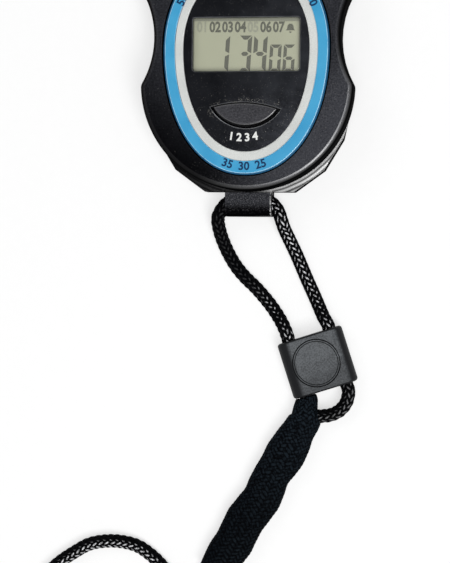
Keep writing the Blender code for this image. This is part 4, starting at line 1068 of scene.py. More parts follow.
button_plastic = moulded("button_plastic", srgb(12, 12, 13), srgb(57, 57, 61), dust=1.0, coat=button_coat,
                         sparkle=lambda finish: 0.12)
slider_rubber = moulded("slider_rubber", srgb(20, 21, 23), srgb(90, 93, 96), dust=0.3, grain=0.25 * MM,
                        shine=0.1, dark=line_dark, film=slider_film)
print("moulded finishes:", button_plastic.name, slider_rubber.name)

# %% [markdown]
# The two rings of the face are lacquered: smooth, with a faint pearl in the paint. The blue one has a
# darker slope at its outside, and the edge above the slope is rubbed pale. Printed ink is flatter than
# lacquer, and its tone is never quite even. Both are thin layers, so tone and gloss say nearly all
# there is to see, and the lacquer gets only the faintest relief.

# %% Lacquer and print finishes


def lacquer(name, colour, shade, grain=0.25, bevel=None):
    """Smooth lacquer with a faint pearly grain and slow changes of tone.

    A bevel is the colour of its slope, and of the rubbed line where the slope starts.
    """
    finish = Finish(name, colour, 0.34, Specular_IOR_Level=0.1, Coat_Weight=0.5, Coat_Roughness=0.1)
    tone = finish.noise(9 * MM).within(0.25, 0.8)
    pearl = finish.noise(0.32 * MM, seed=1.0, roughness=0.7).within(0.3, 0.7)
    paint = finish.mix(tone * (1 - grain) + pearl * grain, colour, shade)
    if bevel:
        slope, rubbed = bevel
        drop = FACE_HEIGHT + 0.2 - finish.axis("Z")
        rub = drop.band(0.002, 0.02, 0.07, 0.1) * finish.noise(4 * MM, seed=3.0).within(0.2, 0.5)
        paint = finish.mix(drop.within(0.09, 0.13), paint, slope)
        paint = finish.mix(rub * 0.8, paint, rubbed)
    return finish.done(paint, 0.3 + 0.16 * pearl, pearl, 0.01 * MM)


def ink(name, colour):
    """Printed ink, with a slightly uneven tone."""
    finish = Finish(name, colour, 0.45, Specular_IOR_Level=0.1)
    uneven = finish.noise(0.35 * MM).within(0.2, 0.8)
    return finish.done(finish.mix(uneven * 0.35, colour, tuple(0.72 * c for c in colour)))


blue_lacquer = lacquer("blue_lacquer", srgb(60, 155, 198), srgb(34, 136, 184),
                       bevel=(srgb(26, 84, 122), srgb(176, 216, 236)))
white_lacquer = lacquer("white_lacquer", srgb(211, 213, 210), srgb(181, 184, 182), grain=0.6)
white_ink = ink("white_ink", srgb(226, 227, 224))
navy_ink = ink("navy_ink", srgb(14, 48, 84))
print("lacquers and inks ready")

# %% [markdown]
# The case outline is made of arcs, as on the CAD part: a round lower lobe, hollow sides at the waist,
# small corners at the shoulders and a shallow arch on top. A curve could be drawn by eye, and would
# never be quite symmetrical. Here each arc starts where two circles touch.

# %% Case outline
WAIST_Y = 11.3 * MM
LOBE_RADIUS, LOBE_DROP = 32.3 * MM, 13.9 * MM
WAIST_HALF, WAIST_RADIUS = 28.3 * MM, 27.8 * MM
ARCH_RADIUS, ARCH_DROP = 39.7 * MM, 8.5 * MM
CORNER_RADIUS = 3.0 * MM
WALL = 2.2 * MM


def arc(centre, radius, start, end, steps):
    """Points on an arc, its angles in degrees."""
    angles = [radians(start + (end - start) * i / steps) for i in range(steps + 1)]
    return [(centre[0] + radius * cos(a), centre[1] + radius * sin(a)) for a in angles]


def circles_meet(c0, r0, c1, r1, side):
    """Where two circles cross, on the left (+1) or the right (-1) of the way from c0 to c1."""
    dx, dy = c1[0] - c0[0], c1[1] - c0[1]
    apart = hypot(dx, dy)
    along = (r0 * r0 - r1 * r1 + apart * apart) / (2 * apart)
    across = side * sqrt(r0 * r0 - along * along)
    return (c0[0] + (along * dx - across * dy) / apart, c0[1] + (along * dy + across * dx) / apart)


def bearing(start, end):
    return degrees(atan2(end[1] - start[1], end[0] - start[0])) % 360


def case_outline(inset=0.0):
    """The case's outline moved in by inset, anticlockwise from its lowest point."""
    lobe, arch = (0.0, WAIST_Y - LOBE_DROP), (0.0, WAIST_Y - ARCH_DROP)
    waist = (WAIST_HALF + WAIST_RADIUS, WAIST_Y)
    corner = max(CORNER_RADIUS - inset, GAP)
    lobe_radius, hollow, arch_radius = LOBE_RADIUS - inset, WAIST_RADIUS + inset, ARCH_RADIUS - inset
    low = circles_meet(lobe, lobe_radius - corner, waist, hollow + corner, -1)
    high = circles_meet(arch, arch_radius - corner, waist, hollow + corner, 1)
    lobe_end = (bearing(lobe, low) + 180) % 360 - 180
    half = (
        arc(lobe, lobe_radius, -90.0, lobe_end, 60)
        + arc(low, corner, lobe_end, bearing(waist, low) - 180, 12)[1:]
        + arc(waist, hollow, bearing(waist, low), bearing(waist, high), 40)[1:]
        + arc(high, corner, bearing(waist, high) - 180, bearing(arch, high), 12)[1:]
        + arc(arch, arch_radius, bearing(arch, high), 90, 40)[1:]
    )
    return half + [(-x, y) for x, y in reversed(half[1:-1])]


print("case outline:", len(case_outline()), "points")

# %% [markdown]
# The face is an egg: a superellipse that reaches further down than up. To sweep the shell from the
# parting line over its rounded rim and down into the face pocket, every outline is turned into the same
# number of points, one for each direction from the middle of the face. Then each ring of points is
# joined to the next, which gives one clean skin where two cut solids would leave a jagged line.

# %% Eggs and rings of points
EGG_POWER = 2.1
FACE = Vector((0.0, WAIST_Y - 3.6 * MM))
PANEL_EGG = (19.1, 23.4, 30.9)  # half width, reach up and reach down, in mm
WHITE_EGG = (21.6, 26.2, 33.7)
BLUE_EGG = (25.1, 29.5, 37.9)
EGG_POINTS = 720
DIRECTIONS = 360


def egg(size, inset=0.0):
    """The outline of the face, moved in by inset."""
    half, up, down = (value * MM - inset for value in size)
    outline = []
    for i in range(EGG_POINTS):
        angle = 2 * pi * i / EGG_POINTS
        c, s = cos(angle), sin(angle)
        x = half * abs(c) ** (2 / EGG_POWER) * (1 if c >= 0 else -1)
        y = (up if s >= 0 else -down) * abs(s) ** (2 / EGG_POWER)
        outline.append((FACE.x + x, FACE.y + y))
    return outline


def by_direction(outline):
    """The outline again, as one point for each direction from the middle of the face."""
    points = np.array(outline) - np.array(FACE)
    angles, reach = np.arctan2(points[:, 1], points[:, 0]), np.hypot(points[:, 0], points[:, 1])
    order = np.argsort(angles)
    angles, reach = angles[order], reach[order]
    wanted = np.linspace(-pi, pi, DIRECTIONS, endpoint=False)
    angles = np.concatenate([angles - 2 * pi, angles, angles + 2 * pi])
    radius = np.interp(wanted, angles, np.tile(reach, 3))
    return [(FACE.x + r * cos(a), FACE.y + r * sin(a)) for r, a in zip(radius, wanted)]


def level(outline, z):
    """An outline at one height."""
    return [(x, y, z) for x, y in outline]


def case_ring(inset, z):
    return level(by_direction(case_outline(inset)), z)


def egg_ring(size, inset, z):
    return level(by_direction(egg(size, inset)), z)


print("blue egg:", round(2 * BLUE_EGG[0], 1), "mm wide,", round(BLUE_EGG[1] + BLUE_EGG[2], 1), "mm high")

# %% [markdown]
# Most pieces are a few rings of points, joined. Holes are cut with Boolean modifiers, whose result is
# kept as a plain mesh. Smooth shading hides the facets of a curve, and an angle says which edges stay
# sharp, so that a rim still ends in a line.

# %% Joining, cutting and smoothing


def joined(name, rings, finish=None, closed=False, sharp=35.0):
    """A piece through rings of points, capped at both ends, or joined end to end when closed."""
    data = shape(name, [rings], closed)
    smooth(data, sharp)
    return link(name, data, finish)


def smooth(data, sharp=35.0):
    """Smooth shading, except along edges that bend by more than this angle in degrees."""
    data.shade_smooth()
    data.set_sharp_from_angle(angle=radians(sharp))


def baked(item):
    """Applies the modifiers of a piece, so that it is a plain mesh again."""
    data = evaluated(item)
    item.modifiers.clear()
    item.data = data
    return item


def carved(item, *tools, operation="DIFFERENCE"):
    """Cuts other shapes out of a piece, or joins them to it, then removes them."""
    for tool in tools:
        modifier = item.modifiers.new("tool", "BOOLEAN")
        modifier.operation, modifier.object = operation, tool
    baked(item)
    for tool in tools:
        bpy.data.objects.remove(tool)
    return item


def prism(name, outline, low, high):
    return joined(name, [level(outline, low), level(outline, high)])


def circle(centre, radius, sides=32):
    return arc(centre, radius, 0, 360 - 360 / sides, sides - 1)


def drum(name, centre, radius, low, high):
    return prism(name, circle(centre, radius), low, high)


def rounded(centre, width, height, corner, steps=8):
    """A rectangle with round corners."""
    outline = []
    for turn, (sx, sy) in enumerate(((1, 1), (-1, 1), (-1, -1), (1, -1))):
        middle = (centre[0] + sx * (width / 2 - corner), centre[1] + sy * (height / 2 - corner))
        outline += arc(middle, corner, 90 * turn, 90 * turn + 90, steps)
    return outline


print("pieces can now be joined, cut and smoothed")

# %% [markdown]
# The display window, the mode button and the two shoulder buttons all need an opening in the shell. Holes
# drawn one by one would leave uneven gaps. Each outline of the face is a function of how far it is moved
# out, so that the button, its hole in the shell and the panel's cut-out come from one curve.

# %% Openings of the face
WINDOW_WIDTH, WINDOW_HEIGHT = 32.3 * MM, 15.9 * MM
WINDOW = (0.0, WAIST_Y - 2.4 * MM)
WINDOW_CORNER = 0.8 * MM
MODE_HALF, MODE_RISE, MODE_FALL = 9.7 * MM, 1.5 * MM, 5.2 * MM
MODE_Y = WAIST_Y - 21.5 * MM
MODE_TURN = radians(-1.8)  # the button sits a little askew in its opening
BUTTON_ANGLE = 39.0
BUTTON_WIDTH = 13.0 * MM
BUTTON_LOW, BUTTON_HIGH = 5.8 * MM, 13.7 * MM
LENS_STEPS = 40


def lens(grow=0.0, above=None):
    """The mode button's outline, two arcs moved out by grow, or by above where the top arc differs."""
    def bow(sagitta, out):
        return (MODE_HALF ** 2 + sagitta ** 2) / (2 * sagitta) + out, sagitta + out
    top, rise = bow(MODE_RISE, grow if above is None else above)
    bottom, fall = bow(MODE_FALL, grow)
    top_centre, bottom_centre = (0.0, MODE_Y + rise - top), (0.0, MODE_Y - fall + bottom)
    tip = circles_meet(bottom_centre, bottom, top_centre, top, 1)
    start = bearing(top_centre, tip)
    low_start = bearing(bottom_centre, (-tip[0], tip[1]))
    outline = (arc(top_centre, top, start, 180 - start, LENS_STEPS)
               + arc(bottom_centre, bottom, low_start, 540 - low_start, LENS_STEPS)[1:-1])
    c, s = cos(MODE_TURN), sin(MODE_TURN)
    return [(x * c - (y - MODE_Y) * s, MODE_Y + x * s + (y - MODE_Y) * c) for x, y in outline]


def window_outline(grow=0.0):
    return rounded(WINDOW, WINDOW_WIDTH + 2 * grow, WINDOW_HEIGHT + 2 * grow, WINDOW_CORNER + grow)


def shoulder_opening(side):
    """A block that cuts the opening of a shoulder button, along the way that the button travels."""
    half, near, far = BUTTON_WIDTH / 2 + GAP, ARCH_RADIUS - 3 * WALL, ARCH_RADIUS + 3 * MM
    turned = turned_at((0, WAIST_Y - ARCH_DROP, 0), radians(-side * BUTTON_ANGLE))
    corners = ((-half, near), (half, near), (half, far), (-half, far))
    return joined("opening", [[turned @ Vector((x, y, z)) for x, y in corners]
                              for z in (BUTTON_LOW - GAP, BUTTON_HIGH + GAP)])


print("mode button opening:", round(2 * (MODE_HALF + GAP) / MM, 1), "mm wide")

# %% [markdown]
# The front shell is the black half that carries the face. Its skin goes up the wall, over the rim in a
# quarter circle, across the face and down into the pocket of the rings. It could be cut from a block
# with bevels, but the rim's highlight shows every fault of a bevel, and a swept rim has none.

# %% Front shell
RIM_RADIUS, RIM_STEPS = 1.8 * MM, 12
POCKET_FLOOR = CASE_HEIGHT - 1.1 * MM
POCKET_EDGE = ((1.0, 0), (0.6, 0), (0.5, 0.03), (0.38, 0.12), (0.32, 0.3), (0.3, 0.6))  # mm out, mm down
PLATE_LOW = POCKET_FLOOR - 1.2 * MM
CASE_SCREWS = [f"case_screw_{i}" for i in range(1, 5)]
BOARD_SCREWS = [f"board_screw_{i}" for i in range(1, 4)]
CASE_SHANK, BOARD_SHANK = 0.85 * MM, 0.8 * MM
BOSS_WALL, HOLE_STOP = 1.55 * MM, 1.3 * MM
PARTING_EDGE = 0.15 * MM
FLAT_RINGS = (0.1 * MM, 0.6 * MM)  # inside the rim, to keep the shading of the flat face flat
FAR = 1.0  # metres, past everything that a cutter has to go through


def centre_of(node):
    """The middle of a CAD node in X and Y, and its lowest and highest Z."""
    low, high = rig.box(node)
    return ((low.x + high.x) / 2, (low.y + high.y) / 2), low.z, high.z


rings = [case_ring(PARTING_EDGE, SHELL_LOW), case_ring(0, SHELL_LOW + PARTING_EDGE)]
for step in range(RIM_STEPS + 1):
    angle = radians(90 / RIM_STEPS * step)
    rings.append(case_ring(RIM_RADIUS * (1 - cos(angle)), CASE_HEIGHT - RIM_RADIUS * (1 - sin(angle))))
rings += [case_ring(RIM_RADIUS + further, CASE_HEIGHT) for further in FLAT_RINGS]
rings += [egg_ring(BLUE_EGG, -out * MM, CASE_HEIGHT - drop * MM) for out, drop in POCKET_EDGE]
rings.append(egg_ring(BLUE_EGG, -GAP, POCKET_FLOOR))
front_shell = joined("front_shell_skin", rings, case_plastic)
carved(front_shell, prism("hollow", case_outline(WALL), 0, PLATE_LOW))
board_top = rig.box("circuit_board")[1].z
bosses = [(centre_of(node)[0], CASE_SHANK + GAP, SHELL_LOW) for node in CASE_SCREWS]
bosses += [(centre_of(node)[0], BOARD_SHANK + GAP, board_top + GAP) for node in BOARD_SCREWS]
carved(front_shell, *[drum("boss", place, hole + BOSS_WALL, low, PLATE_LOW + GAP)
                      for place, hole, low in bosses], operation="UNION")
carved(front_shell, *[drum("hole", place, hole, 0, PLATE_LOW - HOLE_STOP) for place, hole, _ in bosses],
       prism("window_hole", window_outline(GAP), 0, FAR), prism("mode_hole", lens(GAP), 0, FAR),
       shoulder_opening(-1), shoulder_opening(1))
smooth(front_shell.data)
belongs(front_shell, "case", "black_plastic", "front_shell")
print("front shell:", len(front_shell.data.polygons), "faces")

# %% [markdown]
# Some pieces already have the right shape in the CAD part, and lack only the small radius that every
# moulded edge has. Modelling them again would add nothing. A copy gets its triangles merged, a Bevel
# modifier and smooth shading. The original is left as it is, because the packed part relies on it.

# %% Dressing a copy of a CAD piece
MERGE = 1e-6  # metres between points that are one
FLAT = radians(0.5)  # faces that bend less than this are one
BEVEL_FROM = radians(35)  # edges that bend more than this are rounded


def dressed_copy(node, finish, slot, body="case", edge=0.15 * MM, sharp=30.0):
    """A copy of a CAD node with its triangles merged, its edges rounded and its curves smooth."""
    data = frame["nodes"][node].data.copy()
    with opened(data) as mesh:
        bmesh.ops.remove_doubles(mesh, verts=mesh.verts, dist=MERGE)
        bmesh.ops.dissolve_limit(mesh, angle_limit=FLAT, verts=mesh.verts, edges=mesh.edges)
    item = link(node + "_skin", data, finish)
    if edge:
        bevel = item.modifiers.new("edge", "BEVEL")
        bevel.width, bevel.segments = edge, 3
        bevel.limit_method, bevel.angle_limit = "ANGLE", BEVEL_FROM
        bevel.use_clamp_overlap = True
    baked(item)
    smooth(item.data, sharp)
    return belongs(item, body, slot, node)


back_shell = dressed_copy("back_shell", case_plastic, "black_plastic", edge=0.2 * MM)
door = dressed_copy("battery_door", case_plastic, "black_plastic")
print("battery door:", len(door.data.polygons), "faces")

# %% [markdown]
# The back shell shows a rounded shoulder below the parting line, all the way round the heel. In the CAD
# part it is a step. A bevel can't reach so far round these corners, so a ring is swept that follows the
# shoulder's quarter circle from outside, and then cut away from the shell.

# %% Rounded heel
HEEL_REACH, HEEL_STEPS = 3.8 * MM, 14
HEEL_SHARP = 14.0  # degrees
LUG_PLAY = 0.02 * MM  # by which the cutter stays clear of the lug
PARTING = SHELL_LOW - GAP
slope = [case_ring(-out, PARTING - HEEL_ROUND + sqrt(HEEL_ROUND ** 2 - out ** 2))
         for out in [HEEL_REACH * i / HEEL_STEPS for i in range(HEEL_STEPS + 1)]]
slope += [case_ring(-HEEL_REACH, PARTING + MM), case_ring(0, PARTING + MM)]
heel_cutter = joined("heel_cutter", slope, closed=True)
block_half = LUG_HALF + LUG_PLAY
lug_block = [(-block_half, LUG_END - MM), (block_half, LUG_END - MM), (block_half, 0), (-block_half, 0)]
carved(heel_cutter, prism("lug_room", lug_block, 0, CASE_HEIGHT))
carved(back_shell, heel_cutter)
smooth(back_shell.data, HEEL_SHARP)
print("back shell with its round heel:", len(back_shell.data.polygons), "faces")

# %% [markdown]
# Two rings are laid into the pocket of the face: a blue one with a bevelled outer edge, and an off-white
# one inside it. Paint on a flat face would look much the same from the front. But the real blue ring
# stands proud, the white one lies a little lower, and their edges catch the light. Each is swept from its
# own egg outlines as a closed ring.

# %% Rings of the face
PROUD = CASE_HEIGHT + 0.2 * MM
WHITE_TOP = CASE_HEIGHT - 0.1 * MM
LOW = POCKET_FLOOR + GAP


def inlay(name, node, profile, finish, slot):
    """A closed ring from pairs of (egg, inset, height)."""
    rings = [egg_ring(size, inset * MM, z) for size, inset, z in profile]
    return belongs(joined(name, rings, finish, closed=True, sharp=50), "case", slot, node)


blue_ring = inlay("blue_ring_inlay", "blue_trim_ring", [
    (BLUE_EGG, 0, LOW), (BLUE_EGG, 0, PROUD - 0.5 * MM), (BLUE_EGG, 0.06, PROUD - 0.4 * MM),
    (BLUE_EGG, 0.5, PROUD - 0.09 * MM), (BLUE_EGG, 0.58, PROUD - 0.035 * MM), (BLUE_EGG, 0.7, PROUD),
    (BLUE_EGG, 0.8, PROUD), (BLUE_EGG, 1.4, PROUD),
    (WHITE_EGG, -0.4, PROUD), (WHITE_EGG, -0.1, PROUD), (WHITE_EGG, 0, PROUD - 0.08 * MM),
    (WHITE_EGG, 0, LOW),
], blue_lacquer, "blue_lacquer")
white_ring = inlay("white_ring_inlay", "white_trim_ring", [
    (WHITE_EGG, 0.06, LOW), (WHITE_EGG, 0.06, WHITE_TOP - 0.05 * MM), (WHITE_EGG, 0.1, WHITE_TOP),
    (WHITE_EGG, 0.4, WHITE_TOP), (PANEL_EGG, -0.4, WHITE_TOP), (PANEL_EGG, -0.08, WHITE_TOP),
    (PANEL_EGG, 0, WHITE_TOP - 0.08 * MM), (PANEL_EGG, 0, LOW),
], white_lacquer, "white_lacquer")
print("rings:", len(blue_ring.data.polygons), len(white_ring.data.polygons), "faces")

# %% [markdown]
# The panel is black print under a thin gloss. It shows all that such a surface collects: fine dust, grit
# along the upper edge of the mode button, hair-thin scratches and a worn edge round the cut-outs. Every
# one is a pattern of its own with a mask that says where it lies, and they are laid over each other in
# the order in which they lie on the real panel.

# %% Panel print
PANEL_TOP = CASE_HEIGHT - 0.2 * MM
MODE_MOAT, MODE_SLIT = 0.85 * MM, 0.3 * MM
CHAMFER = 0.25 * MM
SCRATCH_TURN = 0.75  # radians
SCRATCH_SCALE = (280.0, 5200.0, 1.0)  # noise stretched to hairs nearly 20 times as long as wide


def panel_dust(finish, x, y, low, right):
    """Fine dust all over, grit over the button and at its left tip, and a few coarse grains."""
    from_arc = y - (MODE_RISE + MODE_SLIT) / MM + (x * MM / MODE_HALF) ** 2.0 * (MODE_RISE / MM)
    arc_dust = from_arc.near(0.3, 0.3, 1.5) * x.near(0.0, 9.5, 11.0)
    tip_dust = (1 - ((x + 9.6) ** 2.0 + (y + 1.0) ** 2.0).within(1.0, 5.0)) * 0.8
    fine = finish.specks(0.42 * MM, 0.09 * MM, seed=0.4) * finish.noise(1.6 * MM, seed=5.0).within(0.42, 0.62)
    patch = finish.noise(1.3 * MM, detail=3.0, seed=8.0, roughness=0.65).within(0.42, 0.56)
    grit = finish.specks(0.38 * MM, 0.15 * MM, seed=0.7) * patch
    coarse = finish.specks(1.9 * MM, 0.17 * MM, seed=0.9)
    dust = fine * (0.25 + 0.75 * low * (0.35 + 0.65 * right)) + grit * arc_dust.at_least(tip_dust)
    return dust + 0.7 * coarse * (0.3 + 0.7 * low)


def hair_scratches(finish):
    """Long noise, stretched along one slanting direction."""
    turned = make(finish.tree, "ShaderNodeVectorRotate", {"Vector": finish.place, "Angle": SCRATCH_TURN},
                  rotation_type="Z_AXIS")
    stretched = make(finish.tree, "ShaderNodeVectorMath", {0: turned, 1: SCRATCH_SCALE}, operation="MULTIPLY")
    hair = make(finish.tree, "ShaderNodeTexNoise", {"Vector": stretched, "Scale": 1.0, "Detail": 1.0})
    return hair.within(0.68, 0.76) * finish.noise(4 * MM, seed=7.0).within(0.5, 0.68)


def printed_panel():
    """Black print under a thin gloss, with fine scratches, a worn edge and dust above the button."""
    finish = Finish("panel_print", srgb(14, 15, 19), 0.32, Specular_IOR_Level=0.04)
    x, y = finish.axis("X"), finish.axis("Y") - MODE_Y / MM
    haze = finish.noise(8 * MM, detail=3.0).within(0.35, 0.8)
    low, right = 1 - y.within(-5.8, 12.2), x.within(-12.0, 14.0)
    dust, scratch = panel_dust(finish, x, y, low, right), hair_scratches(finish)
    smear = finish.noise(1.4 * MM, detail=4.0, seed=13.0, roughness=0.65).within(0.35, 0.68)
    film = (0.25 + 0.5 * haze + 0.5 * smear * low) * (0.2 + 0.7 * right)
    tone = finish.mix(film, srgb(4, 5, 9), srgb(50, 52, 57))
    tone = finish.mix(scratch * 0.35, tone, srgb(96, 98, 102))
    drop = PANEL_TOP / MM - finish.axis("Z")
    worn_edge = drop.band(0.01, 0.05, CHAMFER / MM, CHAMFER / MM + 0.05)
    below = 1 - y.within(-1.4, -0.6)
    tone = finish.mix(worn_edge * (0.6 + 0.4 * haze) * (0.35 + 0.65 * below), tone, srgb(150, 152, 156))
    rough = 0.26 + 0.2 * haze + 0.2 * scratch
    return finish.done(finish.mix(dust * 0.75, tone, DUST), rough, dust, 0.03 * MM)


panel_print = printed_panel()
print("panel print:", len(panel_print.node_tree.nodes), "nodes")

# %% [markdown]
# The panel is a flat plate inside the white ring, with two openings whose edges have a narrow chamfer.
# A Bevel modifier would round all edges alike. Cutters that get wider at the panel's top leave the
# chamfer just where the real one has it.

# %% Panel with its cut-outs
PANEL_PLAY, PANEL_EDGE = 0.08 * MM, 0.05 * MM
WINDOW_PLAY = 0.1 * MM


def flared(name, outline, wider):
    """A cutter that widens at the panel's top, so that the cut-out gets a chamfer."""
    return joined(name, [level(outline, 0), level(outline, PANEL_TOP - CHAMFER), level(wider, PANEL_TOP),
                         level(wider, PANEL_TOP + MM)])


profile = ((PANEL_PLAY, LOW), (PANEL_PLAY, PANEL_TOP - PANEL_EDGE), (PANEL_PLAY + PANEL_EDGE, PANEL_TOP))
panel = joined("panel_inlay", [egg_ring(PANEL_EGG, inset, z) for inset, z in profile], panel_print)
carved(panel, flared("window_cut", window_outline(WINDOW_PLAY), window_outline(WINDOW_PLAY + CHAMFER)),
       flared("mode_cut", lens(MODE_MOAT, MODE_SLIT), lens(MODE_MOAT + CHAMFER, MODE_SLIT + CHAMFER)))
smooth(panel.data)
belongs(panel, "case", "panel_lacquer", "face_panel")
print("panel:", len(panel.data.polygons), "faces")

# %% [markdown]
# The mode button is shaped like a lens, its upper edge nearly straight. Its crown is slightly domed, with
# a rounded edge, and a flange below the front plate keeps it in. Subdividing a coarse shape would
# soften its pointed tips. Here every ring repeats the outline, drawn in a little more than the last.

# %% Mode button
MODE_LOW, MODE_TOP = [corner.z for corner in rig.box("mode_button")]
MODE_MIDDLE = MODE_Y + (MODE_RISE - MODE_FALL) / 2
MODE_STEM, MODE_FLANGE, MODE_FLANGE_THICK = 2.2 * MM, 1.0 * MM, 0.8 * MM
CROWN_IN, CROWN_RISE, CROWN_DROP, CROWN_STEPS = 0.45 * MM, 0.5 * MM, 0.7 * MM, 5
CROWN_DOME = ((0.9, 0.15), (0.7, 0.08), (0.45, 0.03), (0.2, 0.0))  # share of the outline, mm down


def toward_middle(outline, share, z):
    """An outline drawn in towards the middle of the mode button."""
    return [(x * share, MODE_MIDDLE + (y - MODE_MIDDLE) * share, z) for x, y in outline]


angles = [atan2(y - MODE_MIDDLE, x) for x, y in lens()]
stem = [(MODE_STEM * cos(a), MODE_MIDDLE + MODE_STEM * sin(a)) for a in angles]
under, edge = PLATE_LOW - GAP, MODE_TOP - CROWN_DROP
flange_low = under - MODE_FLANGE_THICK
rings = [level(stem, MODE_LOW), level(stem, flange_low), level(lens(MODE_FLANGE), flange_low),
         level(lens(MODE_FLANGE), under), level(lens(), under), level(lens(), edge)]
rings += [level(lens(-CROWN_IN * (1 - cos(a))), edge + CROWN_RISE * sin(a))
          for a in [radians(90 / CROWN_STEPS * step) for step in range(1, CROWN_STEPS + 1)]]
rings += [toward_middle(lens(-CROWN_IN), share, MODE_TOP - drop * MM) for share, drop in CROWN_DOME]
mode_button = joined("mode_button_cap", rings, button_plastic)
belongs(mode_button, "mode_button", "button_plastic", "mode_button")
print("mode button:", len(mode_button.data.polygons), "faces")

# %% [markdown]
# The two shoulder buttons start and stop the watch. Their caps are curved blocks that already have their
# final shape in the CAD part, so dressed copies are enough. Each rides on a body of its own and can be
# pressed in.

# %% Shoulder buttons
for side in ("left", "right"):
    name = side + "_button"
    button = dressed_copy(name, button_plastic, "button_plastic", body=name, edge=0.25 * MM)
    print(name, len(button.data.polygons), "faces")

# %% [markdown]
# The display is a liquid-crystal cell behind a clear window. Its ground is a grey green film that stops
# short of the glass at the top and on the right, where a darker margin shows. The window's plastic makes
# everything under it look nearer. Real refraction would need many more samples, so the film is simply
# laid a little higher than the glass is.

# %% Display ground
GLASS_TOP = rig.box("lcd_glass")[1].z
SEEN_RISE = 1.0 * MM  # thick clear plastic bends light and makes what lies under it look nearer
FILM_PLACE = GLASS_TOP + SEEN_RISE
FILM = 0.02 * MM
MARGIN_RISE, GROUND_RISE, MARK_RISE = -0.03, 0.01, 0.04  # mm from the film's place, so that none touch
FILM_CORNER = 0.3  # mm
TILT = radians(-0.5)
GROUND_MIDDLE = (-0.75, -0.85)
GROUND_GROWTH, MARGIN_GROWTH = (0.3, 0.2), (0.9, 0.9)  # mm wider and higher than the window


def display_finish(name, colour, shade):
    """A display film: an even colour with a little cloud and grit."""
    finish = Finish(name, colour, 0.35, Specular_IOR_Level=0.3)
    cloud = finish.noise(9 * MM).within(0.2, 0.8)
    grit = finish.noise(0.25 * MM, detail=1.0, seed=2.0)
    return finish.done(finish.mix(0.5 * cloud + 0.5 * grit, colour, shade), 0.3 + 0.1 * grit)


display_ground, display_margin, display_dark, display_faint = [
    display_finish("display_" + name, srgb(*colour), srgb(*shade)) for name, colour, shade in (
        ("ground", (160, 162, 139), (150, 152, 130)), ("margin", (128, 130, 115), (116, 118, 104)),
        ("dark", (82, 83, 71), (72, 74, 63)), ("faint", (140, 142, 124), (134, 136, 120)))]


def on_display(x, y):
    """A place from the middle of the window, in millimetres, turned with the display."""
    x, y = x * MM, y * MM
    return (WINDOW[0] + x * cos(TILT) - y * sin(TILT), WINDOW[1] + x * sin(TILT) + y * cos(TILT))


def film(name, outlines, rise, finish):
    """Thin flat shapes, rise millimetres over the place of the film, as one closed mesh for each outline."""
    z = FILM_PLACE + rise * MM
    parts = [[level(outline, z), level(outline, z + FILM)] for outline in outlines]
    return belongs(link(name, shape(name, parts), finish), "case", "display_glass")


def sheet_outline(middle, growth):
    """A sheet as large as the window and a little more, in the display's turned place."""
    sides = [side / MM + more for side, more in zip((WINDOW_WIDTH, WINDOW_HEIGHT), growth)]
    return [on_display(x, y) for x, y in rounded(middle, *sides, FILM_CORNER)]


dressed_copy("lcd_glass", display_margin, "display_glass", edge=0)
film("display_edge", [sheet_outline((0, 0), MARGIN_GROWTH)], MARGIN_RISE, display_margin)
ground = film("display_film", [sheet_outline(GROUND_MIDDLE, GROUND_GROWTH)], GROUND_RISE, display_ground)
print("display ground:", [round(v / MM, 1) for v in ground.dimensions])

# %% [markdown]
# The digits are dark film shapes of seven bars, leaning a little, and the window's edge cuts them off
# below. A font with such digits could be used, but no font comes with the file. Seven short outlines
# with slanted ends do it, named a to g in the way that is usual for such displays.

# %% Digits of seven bars
BARS = {0: "abcdef", 1: "bc", 3: "abcdg", 4: "bcfg", 6: "acdefg"}
LEAN = 0.05
BAR_GAP = 0.14  # half the space between two bars, as a share of their thickness


def bar_outlines(number, x, y, width, height, thick):
    """The bars of one digit as outlines, its lower left corner at x, y."""
    gap, middle, t = thick * BAR_GAP, height / 2, thick
    bars = {
        "a": [(gap, height), (width - gap, height), (width - t - gap, height - t), (t + gap, height - t)],
        "d": [(t + gap, t), (width - t - gap, t), (width - gap, 0), (gap, 0)],
        "g": [(gap + t / 2, middle), (t + gap, middle + t / 2), (width - t - gap, middle + t / 2),
              (width - gap - t / 2, middle), (width - t - gap, middle - t / 2), (t + gap, middle - t / 2)],
        "f": [(0, height - gap), (t, height - t - gap), (t, middle + t / 2 + gap), (0, middle + gap)],
        "b": [(width, height - gap), (width, middle + gap), (width - t, middle + t / 2 + gap),
              (width - t, height - t - gap)],
        "e": [(0, middle - gap), (t, middle - t / 2 - gap), (t, t + gap), (0, gap)],
        "c": [(width, middle - gap), (width, gap), (width - t, t + gap), (width - t, middle - t / 2 - gap)],
    }
    return [[on_display(x + px + LEAN * py, y + py) for px, py in bars[bar]] for bar in BARS[number]]


DIGITS = ((1, -9.2, -8.1, 3.5, 11.0, 1.25), (3, -2.9, -8.1, 3.9, 11.0, 1.25), (4, 1.6, -8.1, 4.1, 11.0, 1.25),
          (0, 6.6, -8.0, 3.5, 8.2, 1.0), (6, 10.75, -8.0, 3.5, 8.2, 1.0))  # number, x, y, size, bar
outlines = [outline for digit in DIGITS for outline in bar_outlines(*digit)]
film("display_digits", outlines, MARK_RISE, display_dark)
print("digit bars:", len(outlines))

# %% [markdown]
# The row above the digits stands for the days of the week, as plain numbers. Two of them are switched
# off and faint, and a bell stands at the end. Text objects are the quickest way to lettering. They
# become meshes before they are put in place, because a text object can't be exported.

# %% Days and a bell
DAY_PITCH, DAY_SIZE, DAY_RISE = 3.86, 4.3 * MM, 0.05 * MM
DAY_NARROW, DAY_WEIGHT = 0.8, 0.15 * MM
LETTER_STEPS = 3  # lines in each curve of a letter
FIRST_DAY = (-13.7, 5.3)
FAINT_DAYS = (0, 4)
BELL_PLACE, BELL_SIZE = (13.0, 5.2), 1.1


